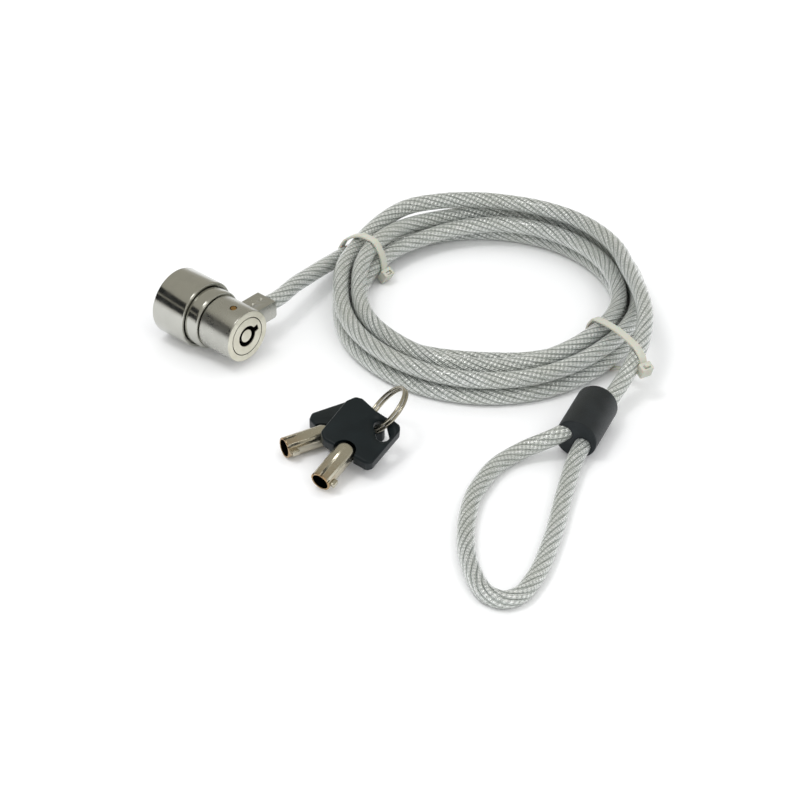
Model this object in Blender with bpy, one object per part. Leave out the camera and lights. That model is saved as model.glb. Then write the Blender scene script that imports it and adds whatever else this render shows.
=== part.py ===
"""Cable lock for a notebook computer: swivel lock head, coiled steel cable, eye and two keys.

Metres, +Z up.  The lock lies on its side: +X runs along its axis from the T-bar to the
keyway and +Y is the way the cable leaves its lug.  The origin is the middle of the
T-bar's outer face; the lock, the cable and the keys lie on the table below it.
"""
import bpy
import bmesh
from math import pi, sin, cos, radians, sqrt, hypot, atan2
from mathutils import Vector, Matrix

MM = 0.001

# ---------------------------------------------------------------- driving sizes
SEAT = 0.3 * MM                 # clearance between pieces that touch
FACETS = 40                     # sides of the turned pieces

BAR_LENGTH, BAR_WIDTH, BAR_THICK = 6.5 * MM, 2.8 * MM, 1.3 * MM
SPINDLE_R = 1.2 * MM
CASE_WALL = 1.6 * MM            # room between T-bar and washer for the computer's wall
PRONG_LENGTH, PRONG_WIDTH, PRONG_HEIGHT = 2.4 * MM, 1.5 * MM, 2.6 * MM

COLLAR_R, COLLAR_LENGTH, COLLAR_EDGE = 11.5 * MM, 13.9 * MM, 0.8 * MM
WASHER_R, WASHER_HOLE_R = COLLAR_R - 1.5 * MM, 5.0 * MM
WASHER_THICK, WASHER_SINK = 0.8 * MM, 0.5 * MM
NOSE_R, NOSE_THICK = WASHER_R - 1.8 * MM, 2.7 * MM
STEP_R, STEP_SHOWN, STEP_SUNK, STEP_EDGE = COLLAR_R - 1.4 * MM, 5.2 * MM, 1.7 * MM, 0.9 * MM
SHELL_R, SHELL_LENGTH, SHELL_CHAMFER = STEP_R - 1.0 * MM, 13.4 * MM, 0.4 * MM
CORE_R = 6.5 * MM

KEYWAY_R, KEYWAY_DEPTH, POST_R, POST_SUNK = 3.7 * MM, 8.0 * MM, 2.5 * MM, 0.3 * MM
NOTCH_REACH, NOTCH_WIDTH, NOTCH_DEPTH, NOTCH_ANGLE = 5.2 * MM, 2.2 * MM, 5.0 * MM, 15.5
ROTOR_R, ROTOR_LENGTH = 4.4 * MM, 6.0 * MM
PIN_COUNT, PIN_PITCH_R, PIN_R = 7, 3.1 * MM, 0.5 * MM
DRIVER_LENGTH, SPRING_LENGTH = 2.8 * MM, 4.1 * MM
SPRING_TURNS, SPRING_WIRE_R = 4, 0.13 * MM
BACK_WALL = 1.0 * MM            # metal behind the springs
CLIP_R, CLIP_THICK = 3.2 * MM, 0.8 * MM
CLIP_RECESS_R = 4.5 * MM

BRASS_PIN_R, BRASS_PIN_BACK, BRASS_PIN_ANGLE = 1.1 * MM, 5.3 * MM, 94.0
GROOVE_DEPTH = 0.9 * MM
LUG_X, LUG_LENGTH, LUG_REACH, LUG_HALF_Z = 28.0 * MM, 8.0 * MM, 18.2 * MM, 3.3 * MM
LUG_FILLET, LUG_EDGE = 2.5 * MM, 0.6 * MM
FERRULE_R, FERRULE_LENGTH = 2.1 * MM, 7.3 * MM
DENT_Y, DENT_R, DENT_DEPTH = (10.9 * MM, 14.8 * MM), 0.7 * MM, 0.5 * MM

CABLE_R = 2.75 * MM
TABLE_Z = -COLLAR_R             # the collar is the widest piece that lies on the table
COIL_CENTRE = (71.3 * MM, 77.6 * MM)
TIE_LIFT_SPREAD = 34.0          # degrees of coil either side of a tie that it props up
TIE_THICK, TIE_WIDTH = 0.9 * MM, 2.6 * MM
TIE_HEAD = (4.4 * MM, 2.8 * MM, 4.4 * MM)
TIE_PIVOT_R = 50.0 * MM         # a tie crosses its bearing this far out
TIE_ANGLES = {"tie_left": 206.8, "tie_right": 36.6}
TIE_SKEWS = {"tie_left": -12.2, "tie_right": -21.0}           # turned about that point
TIE_HEAD_SIDES = {"tie_left": 212.0, "tie_right": -20.0}    # degrees up from the outer side

SLEEVE_R, SLEEVE_LENGTH = 6.85 * MM, 21.2 * MM
SLEEVE_FAR, SLEEVE_HEADING = (140.6 * MM, 52.5 * MM), -70.5
LEG_OFFSET = 3.0 * MM           # cable centres either side of the sleeve's axis
LEG_TILT = 35.0                 # degrees that the eye's legs are turned about it
CRIMP_START, CRIMP_LENGTH = 2.5 * MM, 8.0 * MM

KEY_TUBE_R, KEY_TUBE_WALL, KEY_TUBE_DEPTH = 3.5 * MM, 0.75 * MM, 8.5 * MM
KEY_NECK = 13.2 * MM            # tip to the centre of the tube's round back end
KEY_STUD_R, KEY_STUD_REACH = 1.7 * MM, 22.0 * MM
KEY_NIB = (2.4 * MM, 1.8 * MM, 1.1 * MM)
KEY_NIB_BACK = 0.9 * MM
HEAD_THICK, HEAD_EDGE = 4.4 * MM, 0.7 * MM
KEY_HOLE = (26.6 * MM, -5.0 * MM)       # along the key from its tip, and across it
KEY_HOLE_R, KEY_HOLE_SLOT, KEY_HOLE_WEB, KEY_HOLE_FLARE = 2.1 * MM, 2.0 * MM, 1.6 * MM, 1.9 * MM
RING_R, RING_WIRE_R, RING_PITCH = 8.1 * MM, 0.52 * MM, 1.2 * MM
RING_CENTRE = (97.71 * MM, 0.33 * MM, 0.27 * MM)
RING_AXIS = (0.615, 0.443, -0.715)

# name: tip, heading, pitch, roll in degrees
KEYS = {
    "key_1": ((80.03 * MM, -28.26 * MM, -8.0 * MM), 71.0, 0.0, 0.0, 55.0),
    "key_2": ((100.93 * MM, -34.1 * MM, -7.4 * MM), 97.5, 13.0, 12.0, 45.0),
}

# ---------------------------------------------------------------- derived stations along X
WASHER_X = BAR_THICK + CASE_WALL
COLLAR_X = WASHER_X + WASHER_THICK + SEAT - WASHER_SINK
NOSE_X = COLLAR_X + WASHER_SINK
CORE_X = NOSE_X + NOSE_THICK + SEAT
COLLAR_END = COLLAR_X + COLLAR_LENGTH
STEP_X = COLLAR_END - STEP_SUNK
STEP_END = COLLAR_END + STEP_SHOWN
SHELL_X = STEP_END + SEAT
FACE_X = SHELL_X + SHELL_LENGTH
BRASS_PIN_X = FACE_X - BRASS_PIN_BACK
CHAMBER_END = FACE_X - KEYWAY_DEPTH
ROTOR_END = CHAMBER_END - SEAT
ROTOR_X = ROTOR_END - ROTOR_LENGTH
CHAMBER_X = ROTOR_X - SEAT
PIN_BORE_R = PIN_R + SEAT
SPINDLE_BORE_R = SPINDLE_R + SEAT
DRIVER_END = CHAMBER_X - SEAT / 2
DRIVER_X = DRIVER_END - DRIVER_LENGTH
SPRING_END = DRIVER_X - SEAT
SPRING_X = SPRING_END - SPRING_LENGTH
SPRING_FLOOR = SPRING_X - SEAT
BLOCK_X = SPRING_FLOOR - BACK_WALL
POST_X = CHAMBER_END
POST_END = FACE_X - POST_SUNK
SPINDLE_END = POST_X + 4.0 * MM
CORE_BORE_R = CORE_R + SEAT     # collar, step ring and shell all turn on the core
CABLE_BORE_R = CABLE_R + SEAT
FERRULE_START = LUG_REACH - FERRULE_LENGTH

# ---------------------------------------------------------------- cable route, millimetres
# The coil is described where it crosses chosen bearings round its centre: radius and height of
# the cable's middle, one pair for each loop.  It spirals in on the table, climbs on the inner
# side, spirals out on the second layer and its last half loop lies on top.
COIL_START, COIL_LOOPS, COIL_EXTRA, COIL_STEP = 235, 4, 120, 15
COIL_ZERO_BEARING = 39.0
COIL_SECTIONS = {
    235: [(50.6, 2.75), (44.5, 2.75), (39.4, 6.2), (44.3, 9.9), (49.6, 13.75)],
    243: [(50.35, 2.75), (44.3, 2.75), (39.4, 6.7), (44.9, 9.35), (49.0, 13.75)],
    252: [(50.1, 2.75), (44.05, 2.75), (39.5, 7.2), (45.5, 8.9), (46.6, 15.0)],
    280: [(50.2, 2.75), (44.0, 2.75), (40.6, 8.5), (47.0, 9.5), (44.6, 15.0)],
    315: [(51.3, 2.75), (44.9, 2.75), (42.5, 8.7), (49.0, 9.3), (46.4, 14.8)],
    360: [(52.6, 2.75), (46.0, 2.75), (45.3, 8.85), (52.0, 8.8), (48.8, 14.85)],
    405: [(54.6, 2.75), (44.4, 5.1), (48.1, 10.2), (54.2, 8.8)],
    450: [(55.8, 2.75), (42.6, 7.8), (49.1, 9.8), (55.4, 8.8)],
    495: [(52.1, 2.75), (42.2, 5.0), (45.4, 10.35), (51.5, 8.9)],
    530: [(48.4, 2.75), (42.2, 2.75), (42.1, 8.9), (48.3, 8.75)],
    550: [(47.9, 2.75), (41.7, 3.6), (42.4, 9.7), (48.6, 8.9)],
    570: [(45.6, 2.75), (40.0, 5.2), (42.9, 10.5), (48.9, 8.6)],
    582: [(45.1, 2.75), (39.6, 5.6), (43.3, 10.5), (49.6, 11.3)],
}
LEAD_ROUTE = [(26.9, 27.0, -0.1), (25.6, 34.5, -0.8), (24.0, 42.0, -2.0), (22.0, 50.0, -3.7),
              (20.1, 58.0, -5.5), (18.9, 65.0, -6.8), (18.6, 73.0, -7.6), (19.3, 80.0, -8.2)]
TAIL_ROUTE = [(121.3, 98.8, 5.3), (130.3, 89.6, 4.9), (136.1, 80.3, 3.4), (139.4, 72.8, 1.5),
              (140.4, 67.0, -1.4), (141.0, 62.8, -3.6)]
EYE_ROUTE = [(144.0, 33.3, -3.1), (143.1, 30.3, -3.7), (141.4, 27.5, -4.8), (139.0, 24.6, -6.2),
             (136.3, 20.4, -7.8), (135.0, 15.9, -8.6), (134.6, 10.6, -8.75),
             (135.4, 5.4, -8.75), (136.8, 0.5, -8.75), (138.3, -4.0, -8.75),
             (140.3, -8.3, -8.75), (142.8, -12.5, -8.75), (145.4, -16.5, -8.75),
             (148.4, -20.5, -8.75), (152.0, -24.7, -8.75), (156.2, -29.1, -8.75),
             (161.2, -33.1, -8.75), (167.2, -37.1, -8.75), (172.3, -39.1, -8.75),
             (176.4, -39.1, -8.75), (179.3, -36.6, -8.75), (180.2, -32.3, -8.75), (178.7, -25.4, -8.75),
             (176.6, -19.2, -8.75), (174.2, -14.1, -8.75), (170.2, -6.1, -8.75),
             (166.2, 1.2, -8.75), (160.8, 10.4, -8.6), (156.2, 18.8, -8.3),
             (153.3, 24.2, -8.2), (151.4, 28.4, -7.4), (150.3, 31.7, -6.7)]
# Key head outline, millimetres along the key from its tip and across it.
HEAD_OUTLINE = [(12.8, 3.8), (12.8, 7.7), (14.9, 10.0), (29.4, 10.3), (32.4, 8.8), (33.1, 6.6),
                (31.6, 0.6), (31.3, -3.2), (31.6, -6.4), (31.2, -8.8), (29.6, -9.9),
                (14.2, -9.8), (12.8, -8.6), (12.8, -3.8)]


# ---------------------------------------------------------------- helpers
def clear_scene():
    for obj in list(bpy.data.objects):
        bpy.data.objects.remove(obj)


def material(name, rgb, roughness, metallic=0.0):
    mat = bpy.data.materials.new(name)
    mat.use_nodes = True
    shader = mat.node_tree.nodes["Principled BSDF"]
    shader.inputs["Base Color"].default_value = (*rgb, 1.0)
    shader.inputs["Roughness"].default_value = roughness
    shader.inputs["Metallic"].default_value = metallic
    return mat


def empty(name, matrix=None, parent=None):
    obj = bpy.data.objects.new(name, None)
    obj.empty_display_size = 5 * MM
    bpy.context.scene.collection.objects.link(obj)
    obj.parent = parent
    if matrix is not None:
        obj.matrix_local = matrix
    return obj


def add_mesh(name, bm, mat, parent=None, smooth=True):
    bmesh.ops.remove_doubles(bm, verts=bm.verts, dist=1e-7)
    bmesh.ops.recalc_face_normals(bm, faces=bm.faces)
    mesh = bpy.data.meshes.new(name)
    bm.to_mesh(mesh)
    bm.free()
    if smooth:
        mesh.shade_smooth()
        mesh.set_sharp_from_angle(angle=radians(35))
    if mat:
        mesh.materials.append(mat)
    obj = bpy.data.objects.new(name, mesh)
    bpy.context.scene.collection.objects.link(obj)
    obj.parent = parent
    return obj


def turn(bm, profile, facets=FACETS, origin=(0, 0, 0)):
    """Spin a closed (x, radius) outline about the X axis."""
    base = Vector(origin)
    rings = []
    for x, r in profile:
        if r < 1e-6:
            rings.append([bm.verts.new(base + Vector((x, 0, 0)))] * facets)
        else:
            rings.append([bm.verts.new(base + Vector((x, r * cos(2 * pi * k / facets),
                                                      r * sin(2 * pi * k / facets))))
                          for k in range(facets)])
    for ring, after in zip(rings, rings[1:] + rings[:1]):
        for k in range(facets):
            corners = [ring[k], after[k], after[(k + 1) % facets], ring[(k + 1) % facets]]
            loop = [v for i, v in enumerate(corners) if v not in corners[:i]]
            if len(loop) > 2:
                bm.faces.new(loop)


def turned(name, profile, mat, parent=None, facets=FACETS):
    bm = bmesh.new()
    turn(bm, profile, facets)
    return add_mesh(name, bm, mat, parent)


def rod(x0, x1, radius, edge=0.0):
    """Outline of a solid round bar from x0 to x1."""
    if edge:
        return [(x0, 0), (x0, radius - edge), (x0 + edge, radius),
                (x1 - edge, radius), (x1, radius - edge), (x1, 0)]
    return [(x0, 0), (x0, radius), (x1, radius), (x1, 0)]


def pipe(x0, x1, inner, outer):
    return [(x0, inner), (x0, outer), (x1, outer), (x1, inner)]


def box_mesh(low, high):
    bm = bmesh.new()
    size = Vector(high) - Vector(low)
    bmesh.ops.create_cube(bm, size=1.0)
    bmesh.ops.scale(bm, vec=size, verts=bm.verts)
    bmesh.ops.translate(bm, vec=(Vector(high) + Vector(low)) / 2, verts=bm.verts)
    return bm


def prism(outline, axis, start, end):
    """Extrude a closed 2-D outline along world axis 0 or 2."""
    bm = bmesh.new()

    def place(u, v, w):
        return (w, u, v) if axis == 0 else (u, v, w)
    low = [bm.verts.new(place(u, v, start)) for u, v in outline]
    high = [bm.verts.new(place(u, v, end)) for u, v in outline]
    bm.faces.new(low)
    bm.faces.new(high)
    count = len(outline)
    for k in range(count):
        bm.faces.new((low[k], low[(k + 1) % count], high[(k + 1) % count], high[k]))
    return bm


def tool(name, bm, parent=None, matrix=None):
    """A cutter or a lump for a Boolean; it isn't part of the object."""
    obj = add_mesh(name, bm, None, parent, smooth=False)
    obj.hide_render = True
    obj.display_type = "WIRE"
    if matrix is not None:
        obj.matrix_local = matrix
    return obj


def boolean(obj, other, operation="DIFFERENCE"):
    mod = obj.modifiers.new(operation.title() + " " + other.name, "BOOLEAN")
    mod.operation = operation
    mod.solver = "EXACT"
    mod.object = other
    return mod


def bevel(obj, width, segments=2, angle=35):
    mod = obj.modifiers.new("Soft edges", "BEVEL")
    mod.width = width
    mod.segments = segments
    mod.limit_method = "ANGLE"
    mod.angle_limit = radians(angle)
    return mod


def rod_tool(name, start, end, radius, facets=24, parent=None):
    """A round cutter from start to end."""
    start, end = Vector(start), Vector(end)
    bm = bmesh.new()
    turn(bm, rod(0, (end - start).length, radius), facets)
    turn_to = Vector((1, 0, 0)).rotation_difference(end - start).to_matrix().to_4x4()
    return tool(name, bm, parent, Matrix.Translation(start) @ turn_to)


def tube(name, points, radius, mat=None, parent=None, resolution=2):
    """A round solid along the points: a polyline curve with a bevel and closed ends."""
    curve = bpy.data.curves.new(name, "CURVE")
    curve.dimensions = "3D"
    curve.bevel_depth = radius
    curve.bevel_resolution = resolution
    curve.use_fill_caps = True
    curve.twist_mode = "MINIMUM"
    spline = curve.splines.new("POLY")
    spline.points.add(len(points) - 1)
    for point, place in zip(spline.points, points):
        point.co = (*place, 1.0)
    spline.use_smooth = True
    obj = bpy.data.objects.new(name, curve)
    if mat:
        curve.materials.append(mat)
    bpy.context.scene.collection.objects.link(obj)
    obj.parent = parent
    return obj


def sweep(points, radius, sides=12):
    """A closed round tube mesh along the points."""
    bm = bmesh.new()
    along = (points[1] - points[0]).normalized()
    across = along.orthogonal().normalized()
    rings = []
    for k, p in enumerate(points):
        ahead = (points[min(k + 1, len(points) - 1)] - points[max(k - 1, 0)]).normalized()
        across = (across - ahead * across.dot(ahead)).normalized()
        other = ahead.cross(across)
        rings.append([bm.verts.new(p + (across * cos(2 * pi * i / sides)
                                        + other * sin(2 * pi * i / sides)) * radius)
                      for i in range(sides)])
    for ring, after in zip(rings, rings[1:]):
        for i in range(sides):
            bm.faces.new((ring[i], ring[(i + 1) % sides], after[(i + 1) % sides], after[i]))
    bm.faces.new(rings[0])
    bm.faces.new(rings[-1])
    return bm


# ---------------------------------------------------------------- smooth curves
def hermite(xs, ys, x):
    """Smooth value at x of the curve through (xs, ys)."""
    last = len(xs) - 1
    i = 0
    while i < last - 1 and x >= xs[i + 1]:
        i += 1

    def slope(k):
        a, b = max(0, k - 1), min(last, k + 1)
        return (ys[b] - ys[a]) / (xs[b] - xs[a])
    span = xs[i + 1] - xs[i]
    t = (x - xs[i]) / span
    return ((2 * t ** 3 - 3 * t ** 2 + 1) * ys[i] + (t ** 3 - 2 * t ** 2 + t) * span * slope(i)
            + (3 * t ** 2 - 2 * t ** 3) * ys[i + 1] + (t ** 3 - t ** 2) * span * slope(i + 1))


def run_lengths(points):
    total = [0.0]
    for a, b in zip(points, points[1:]):
        total.append(total[-1] + (Vector(b) - Vector(a)).length)
    return total


def smooth_path(route, step):
    """Points every `step` on the smooth curve through the route, whose end runs are straight."""
    lengths = run_lengths(route)
    first, last = lengths[1], lengths[-2]
    count = max(1, round((last - first) / step))
    columns = [[p[axis] for p in route] for axis in range(3)]
    inner = [Vector([hermite(lengths, column, first + (last - first) * k / count)
                     for column in columns]) for k in range(count + 1)]
    return [Vector(route[0])] + inner + [Vector(route[-1])]


def tie_lift(bearing):
    """How far a tie under the coil lifts the loops at this bearing."""
    rise = 0.0
    for place in TIE_ANGLES.values():
        away = abs((bearing - place + 180) % 360 - 180)
        if away < TIE_LIFT_SPREAD:
            rise += cos(pi / 2 * away / TIE_LIFT_SPREAD) ** 2
    return rise * (TIE_THICK + SEAT)


def coil_point(bearing):
    radius = hermite(COIL_BEARINGS, COIL_RADII, bearing) * MM
    height = hermite(COIL_BEARINGS, COIL_HEIGHTS, bearing) * MM + tie_lift(bearing)
    angle = radians(COIL_ZERO_BEARING - bearing)
    return Vector((COIL_CENTRE[0] + radius * cos(angle), COIL_CENTRE[1] + radius * sin(angle),
                   TABLE_Z + height))


def least_gap(points, radius, skip):
    """Least gap of a tube to itself, between points farther apart along it than skip."""
    fine = []
    for a, b in zip(points, points[1:]):
        fine += [a.lerp(b, k / 6) for k in range(6)]
    step = sum((b - a).length for a, b in zip(fine, fine[1:])) / len(fine)
    away = int(skip / step)
    best = 1.0
    for i, p in enumerate(fine):
        for q in fine[i + away:]:
            best = min(best, (p - q).length)
    return best - 2 * radius


COIL_STATIONS = sorted((bearing + 360 * loop, *pair)
                       for bearing, pairs in COIL_SECTIONS.items()
                       for loop, pair in enumerate(pairs))
COIL_BEARINGS = [row[0] for row in COIL_STATIONS]
COIL_RADII = [row[1] for row in COIL_STATIONS]
COIL_HEIGHTS = [row[2] for row in COIL_STATIONS]


def mm_points(rows):
    return [Vector(row) * MM for row in rows]


def sleeve_point(along, across=0.0, tilt=0.0):
    """A point in the sleeve: along its axis from the far end, and across it to the right.

    The tilt turns that way to the right downwards about the axis.
    """
    heading, tilt = radians(SLEEVE_HEADING), radians(tilt)
    forward = Vector((cos(heading), sin(heading), 0))
    right = Vector((-sin(heading) * cos(tilt), cos(heading) * cos(tilt), -sin(tilt)))
    return (Vector((*SLEEVE_FAR, TABLE_Z + SLEEVE_R)) + forward * along + right * across)


# ---------------------------------------------------------------- lock head
def build_head(mats, head, plug, root):
    far, edge = COLLAR_X, COLLAR_EDGE
    turned("front_collar", [
        (far, WASHER_R + SEAT), (NOSE_X, WASHER_R + SEAT), (NOSE_X, NOSE_R + SEAT),
        (CORE_X, NOSE_R + SEAT), (CORE_X, CORE_BORE_R), (STEP_X - SEAT, CORE_BORE_R),
        (STEP_X - SEAT, STEP_R + SEAT), (COLLAR_END, STEP_R + SEAT),
        (COLLAR_END, COLLAR_R - edge / 2), (COLLAR_END - edge / 2, COLLAR_R),
        (far + edge, COLLAR_R), (far + edge * 0.3, COLLAR_R - edge * 0.3), (far, COLLAR_R - edge)],
        mats["chrome"], head, 48)
    turned("rubber_washer", pipe(WASHER_X, WASHER_X + WASHER_THICK, WASHER_HOLE_R, WASHER_R),
           mats["rubber"], head)
    edge = STEP_EDGE
    turned("step_ring", [
        (STEP_X, CORE_BORE_R), (STEP_X, STEP_R), (STEP_END - edge, STEP_R),
        (STEP_END - edge * 0.3, STEP_R - edge * 0.3), (STEP_END, STEP_R - edge),
        (STEP_END, CORE_BORE_R)], mats["chrome"], head, 48)

    nose = turned("nose_plate", pipe(NOSE_X, NOSE_X + NOSE_THICK, SPINDLE_BORE_R, NOSE_R),
                  mats["steel"], head)
    for side, name in ((1, "left"), (-1, "right")):
        inner = SPINDLE_BORE_R + SEAT
        prong = tool("prong_" + name, box_mesh(
            (NOSE_X - PRONG_LENGTH, side * inner, -PRONG_HEIGHT / 2),
            (NOSE_X + NOSE_THICK / 2, side * (inner + PRONG_WIDTH), PRONG_HEIGHT / 2)), head)
        boolean(nose, prong, "UNION")

    groove_half = BRASS_PIN_R + SEAT
    core = turned("core_body", [
        (CORE_X, CLIP_RECESS_R), (BLOCK_X, CLIP_RECESS_R), (BLOCK_X, SPINDLE_BORE_R),
        (CHAMBER_X, SPINDLE_BORE_R), (CHAMBER_X, ROTOR_R + SEAT), (CHAMBER_END, ROTOR_R + SEAT),
        (CHAMBER_END, KEYWAY_R), (FACE_X, KEYWAY_R), (FACE_X, CORE_R),
        (BRASS_PIN_X + groove_half, CORE_R), (BRASS_PIN_X + groove_half, CORE_R - GROOVE_DEPTH),
        (BRASS_PIN_X - groove_half, CORE_R - GROOVE_DEPTH), (BRASS_PIN_X - groove_half, CORE_R),
        (CORE_X, CORE_R)], mats["pale"], head)
    notch = tool("keyway_notch", box_mesh(
        (FACE_X - NOTCH_DEPTH, KEYWAY_R * 0.8, -NOTCH_WIDTH / 2),
        (FACE_X + 1 * MM, NOTCH_REACH, NOTCH_WIDTH / 2)), head,
        Matrix.Rotation(radians(NOTCH_ANGLE), 4, "X"))
    boolean(core, notch)

    rotor = turned("rotor", pipe(ROTOR_X, ROTOR_END, SPINDLE_BORE_R, ROTOR_R),
                   mats["brass"], plug)
    for k in range(PIN_COUNT):
        angle = 2 * pi * (k + 0.5) / PIN_COUNT
        y, z = PIN_PITCH_R * cos(angle), PIN_PITCH_R * sin(angle)
        boolean(core, rod_tool("spring_bore_%d" % (k + 1), (SPRING_FLOOR, y, z),
                               (CHAMBER_X + SEAT, y, z), PIN_BORE_R, 10, head))
        boolean(rotor, rod_tool("pin_bore_%d" % (k + 1), (ROTOR_X - SEAT, y, z),
                                (ROTOR_END + SEAT, y, z), PIN_BORE_R, 10, plug))
        for name, x0, x1, body, mat in (
                ("key_pin_%d", ROTOR_X + SEAT / 2, ROTOR_END - SEAT / 2, plug, "brass"),
                ("driver_pin_%d", DRIVER_X, DRIVER_END, head, "steel")):
            bm = bmesh.new()
            turn(bm, rod(x0, x1, PIN_R, PIN_R * 0.3), 10, (0, y, z))
            add_mesh(name % (k + 1), bm, mats[mat], body)
        coil_r = PIN_R - SPRING_WIRE_R
        turns = [Vector((SPRING_X + SPRING_WIRE_R
                         + (SPRING_LENGTH - 2 * SPRING_WIRE_R) * i / (8 * SPRING_TURNS),
                         y + coil_r * cos(pi * i / 4), z + coil_r * sin(pi * i / 4)))
                 for i in range(8 * SPRING_TURNS + 1)]
        tube("pin_spring_%d" % (k + 1), turns, SPRING_WIRE_R, mats["steel"], head, 0)

    post = turned("centre_post", [
        (POST_X, SPINDLE_BORE_R), (POST_X, POST_R), (POST_END - SEAT, POST_R),
        (POST_END, POST_R - SEAT), (POST_END, 0), (SPINDLE_END + SEAT, 0),
        (SPINDLE_END + SEAT, SPINDLE_BORE_R)], mats["pale"], plug, 28)

    bar = turned("t_bar", rod(BAR_THICK / 2, SPINDLE_END, SPINDLE_R), mats["steel"], plug, 16)
    blade = tool("t_bar_blade", box_mesh((0, -BAR_LENGTH / 2, -BAR_WIDTH / 2),
                                         (BAR_THICK, BAR_LENGTH / 2, BAR_WIDTH / 2)), plug)
    boolean(bar, blade, "UNION")
    turned("retaining_clip", pipe(BLOCK_X - SEAT - CLIP_THICK, BLOCK_X - SEAT,
                                  SPINDLE_BORE_R, CLIP_R), mats["steel"], plug, 20)

    # Swivel shell: a turned sleeve with a lug that flows out of its side.
    shell = turned("swivel_shell", [
        (SHELL_X, 0), (SHELL_X, SHELL_R - SHELL_CHAMFER), (SHELL_X + SHELL_CHAMFER, SHELL_R),
        (FACE_X - SHELL_CHAMFER, SHELL_R), (FACE_X, SHELL_R - SHELL_CHAMFER), (FACE_X, 0)],
        mats["satin"], root, 48)
    root_z = LUG_HALF_Z + LUG_FILLET
    root_y = sqrt((SHELL_R + LUG_FILLET) ** 2 - root_z ** 2)
    sweep = atan2(root_z, root_y)
    upper = [(LUG_REACH, LUG_HALF_Z)]
    for k in range(6):
        angle = -pi / 2 - (pi / 2 - sweep) * k / 5
        upper.append((root_y + LUG_FILLET * cos(angle), root_z + LUG_FILLET * sin(angle)))
    inside = (upper[-1][0] * 0.95, upper[-1][1] * 0.95)
    upper.append(inside)
    outline = upper + [(y, -z) for y, z in reversed(upper)]
    lug = tool("lug_block", prism(outline, 0, LUG_X - LUG_LENGTH / 2, LUG_X + LUG_LENGTH / 2),
               root)
    end_edges = bevel(lug, LUG_EDGE, 2, 60)
    end_edges.limit_method = "WEIGHT"
    weight = lug.data.attributes.new("bevel_weight_edge", "FLOAT", "EDGE")
    for edge in lug.data.edges:
        a, b = (lug.data.vertices[i].co for i in edge.vertices)
        weight.data[edge.index].value = 1.0 if min(a.y, b.y) > LUG_REACH - 1e-5 else 0.0
    boolean(shell, lug, "UNION")
    boolean(shell, rod_tool("swivel_bore", (SHELL_X - 1 * MM, 0, 0), (FACE_X + 1 * MM, 0, 0),
                            CORE_BORE_R, FACETS, root))
    boolean(shell, rod_tool("ferrule_bore", (LUG_X, FERRULE_START - SEAT, 0),
                            (LUG_X, LUG_REACH + 1 * MM, 0), FERRULE_R + SEAT, 20, root))
    for k, y in enumerate(DENT_Y):
        boolean(shell, rod_tool("dent_%d" % (k + 1), (LUG_X, y, LUG_HALF_Z - DENT_DEPTH),
                                (LUG_X, y, LUG_HALF_Z + 1 * MM), DENT_R, 12, root))
    angle = radians(BRASS_PIN_ANGLE)
    out = Vector((0, cos(angle), sin(angle)))
    middle = Vector((BRASS_PIN_X, 0, 0))
    boolean(shell, rod_tool("brass_pin_bore", middle + out * CORE_R * 0.9,
                            middle + out * (SHELL_R + 1 * MM), BRASS_PIN_R + SEAT, 20, root))
    bm = bmesh.new()
    pin_foot = CORE_R - GROOVE_DEPTH + SEAT
    turn(bm, rod(0, SHELL_R - pin_foot, BRASS_PIN_R, 0.2 * MM), 16)
    pin = add_mesh("brass_pin", bm, mats["brass"], root)
    pin.matrix_local = (Matrix.Translation(middle + out * pin_foot)
                        @ Vector((1, 0, 0)).rotation_difference(out).to_matrix().to_4x4())
    bm = bmesh.new()
    turn(bm, rod(0, FERRULE_LENGTH, FERRULE_R, 0.3 * MM), 16)
    ferrule = add_mesh("cable_ferrule", bm, mats["steel"], root)
    ferrule.matrix_local = (Matrix.Translation((LUG_X, FERRULE_START, 0))
                            @ Matrix.Rotation(radians(90), 4, "Z"))


# ---------------------------------------------------------------- cable, ties and sleeve
def cable_paths():
    steps = (360 * COIL_LOOPS + COIL_EXTRA) // COIL_STEP
    coil = [coil_point(COIL_START + COIL_STEP * k) for k in range(steps + 1)]
    straight = 2 * CABLE_R
    into = (coil[1] - coil[0]).normalized()
    out = (coil[-1] - coil[-2]).normalized()
    start = Vector((LUG_X, LUG_REACH + SEAT, 0))
    lead = smooth_path([start, start + Vector((0, straight, 0))] + mm_points(LEAD_ROUTE)
                       + [coil[0] - into * (SEAT + straight), coil[0] - into * SEAT], 9 * MM)
    tail_end = sleeve_point(CRIMP_START - SEAT, LEG_OFFSET)
    tail = smooth_path([coil[-1] + out * SEAT, coil[-1] + out * (SEAT + straight)]
                       + mm_points(TAIL_ROUTE)
                       + [sleeve_point(CRIMP_START - SEAT - straight, LEG_OFFSET), tail_end],
                       8 * MM)
    leg = CRIMP_START + CRIMP_LENGTH + SEAT
    eye = smooth_path([sleeve_point(leg, -LEG_OFFSET, LEG_TILT),
                       sleeve_point(leg + straight, -LEG_OFFSET, LEG_TILT)]
                      + mm_points(EYE_ROUTE)
                      + [sleeve_point(leg + straight, LEG_OFFSET, LEG_TILT),
                         sleeve_point(leg, LEG_OFFSET, LEG_TILT)], 5.5 * MM)
    return lead, coil, tail, eye


def hull(points):
    """Convex hull of 2-D points, counter-clockwise."""
    points = sorted(set(points))

    def chain(rows):
        out = []
        for p in rows:
            while len(out) > 1 and ((out[-1][0] - out[-2][0]) * (p[1] - out[-2][1])
                                    - (out[-1][1] - out[-2][1]) * (p[0] - out[-2][0])) <= 0:
                out.pop()
            out.append(p)
        return out[:-1]
    return chain(points) + chain(points[::-1])


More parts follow.
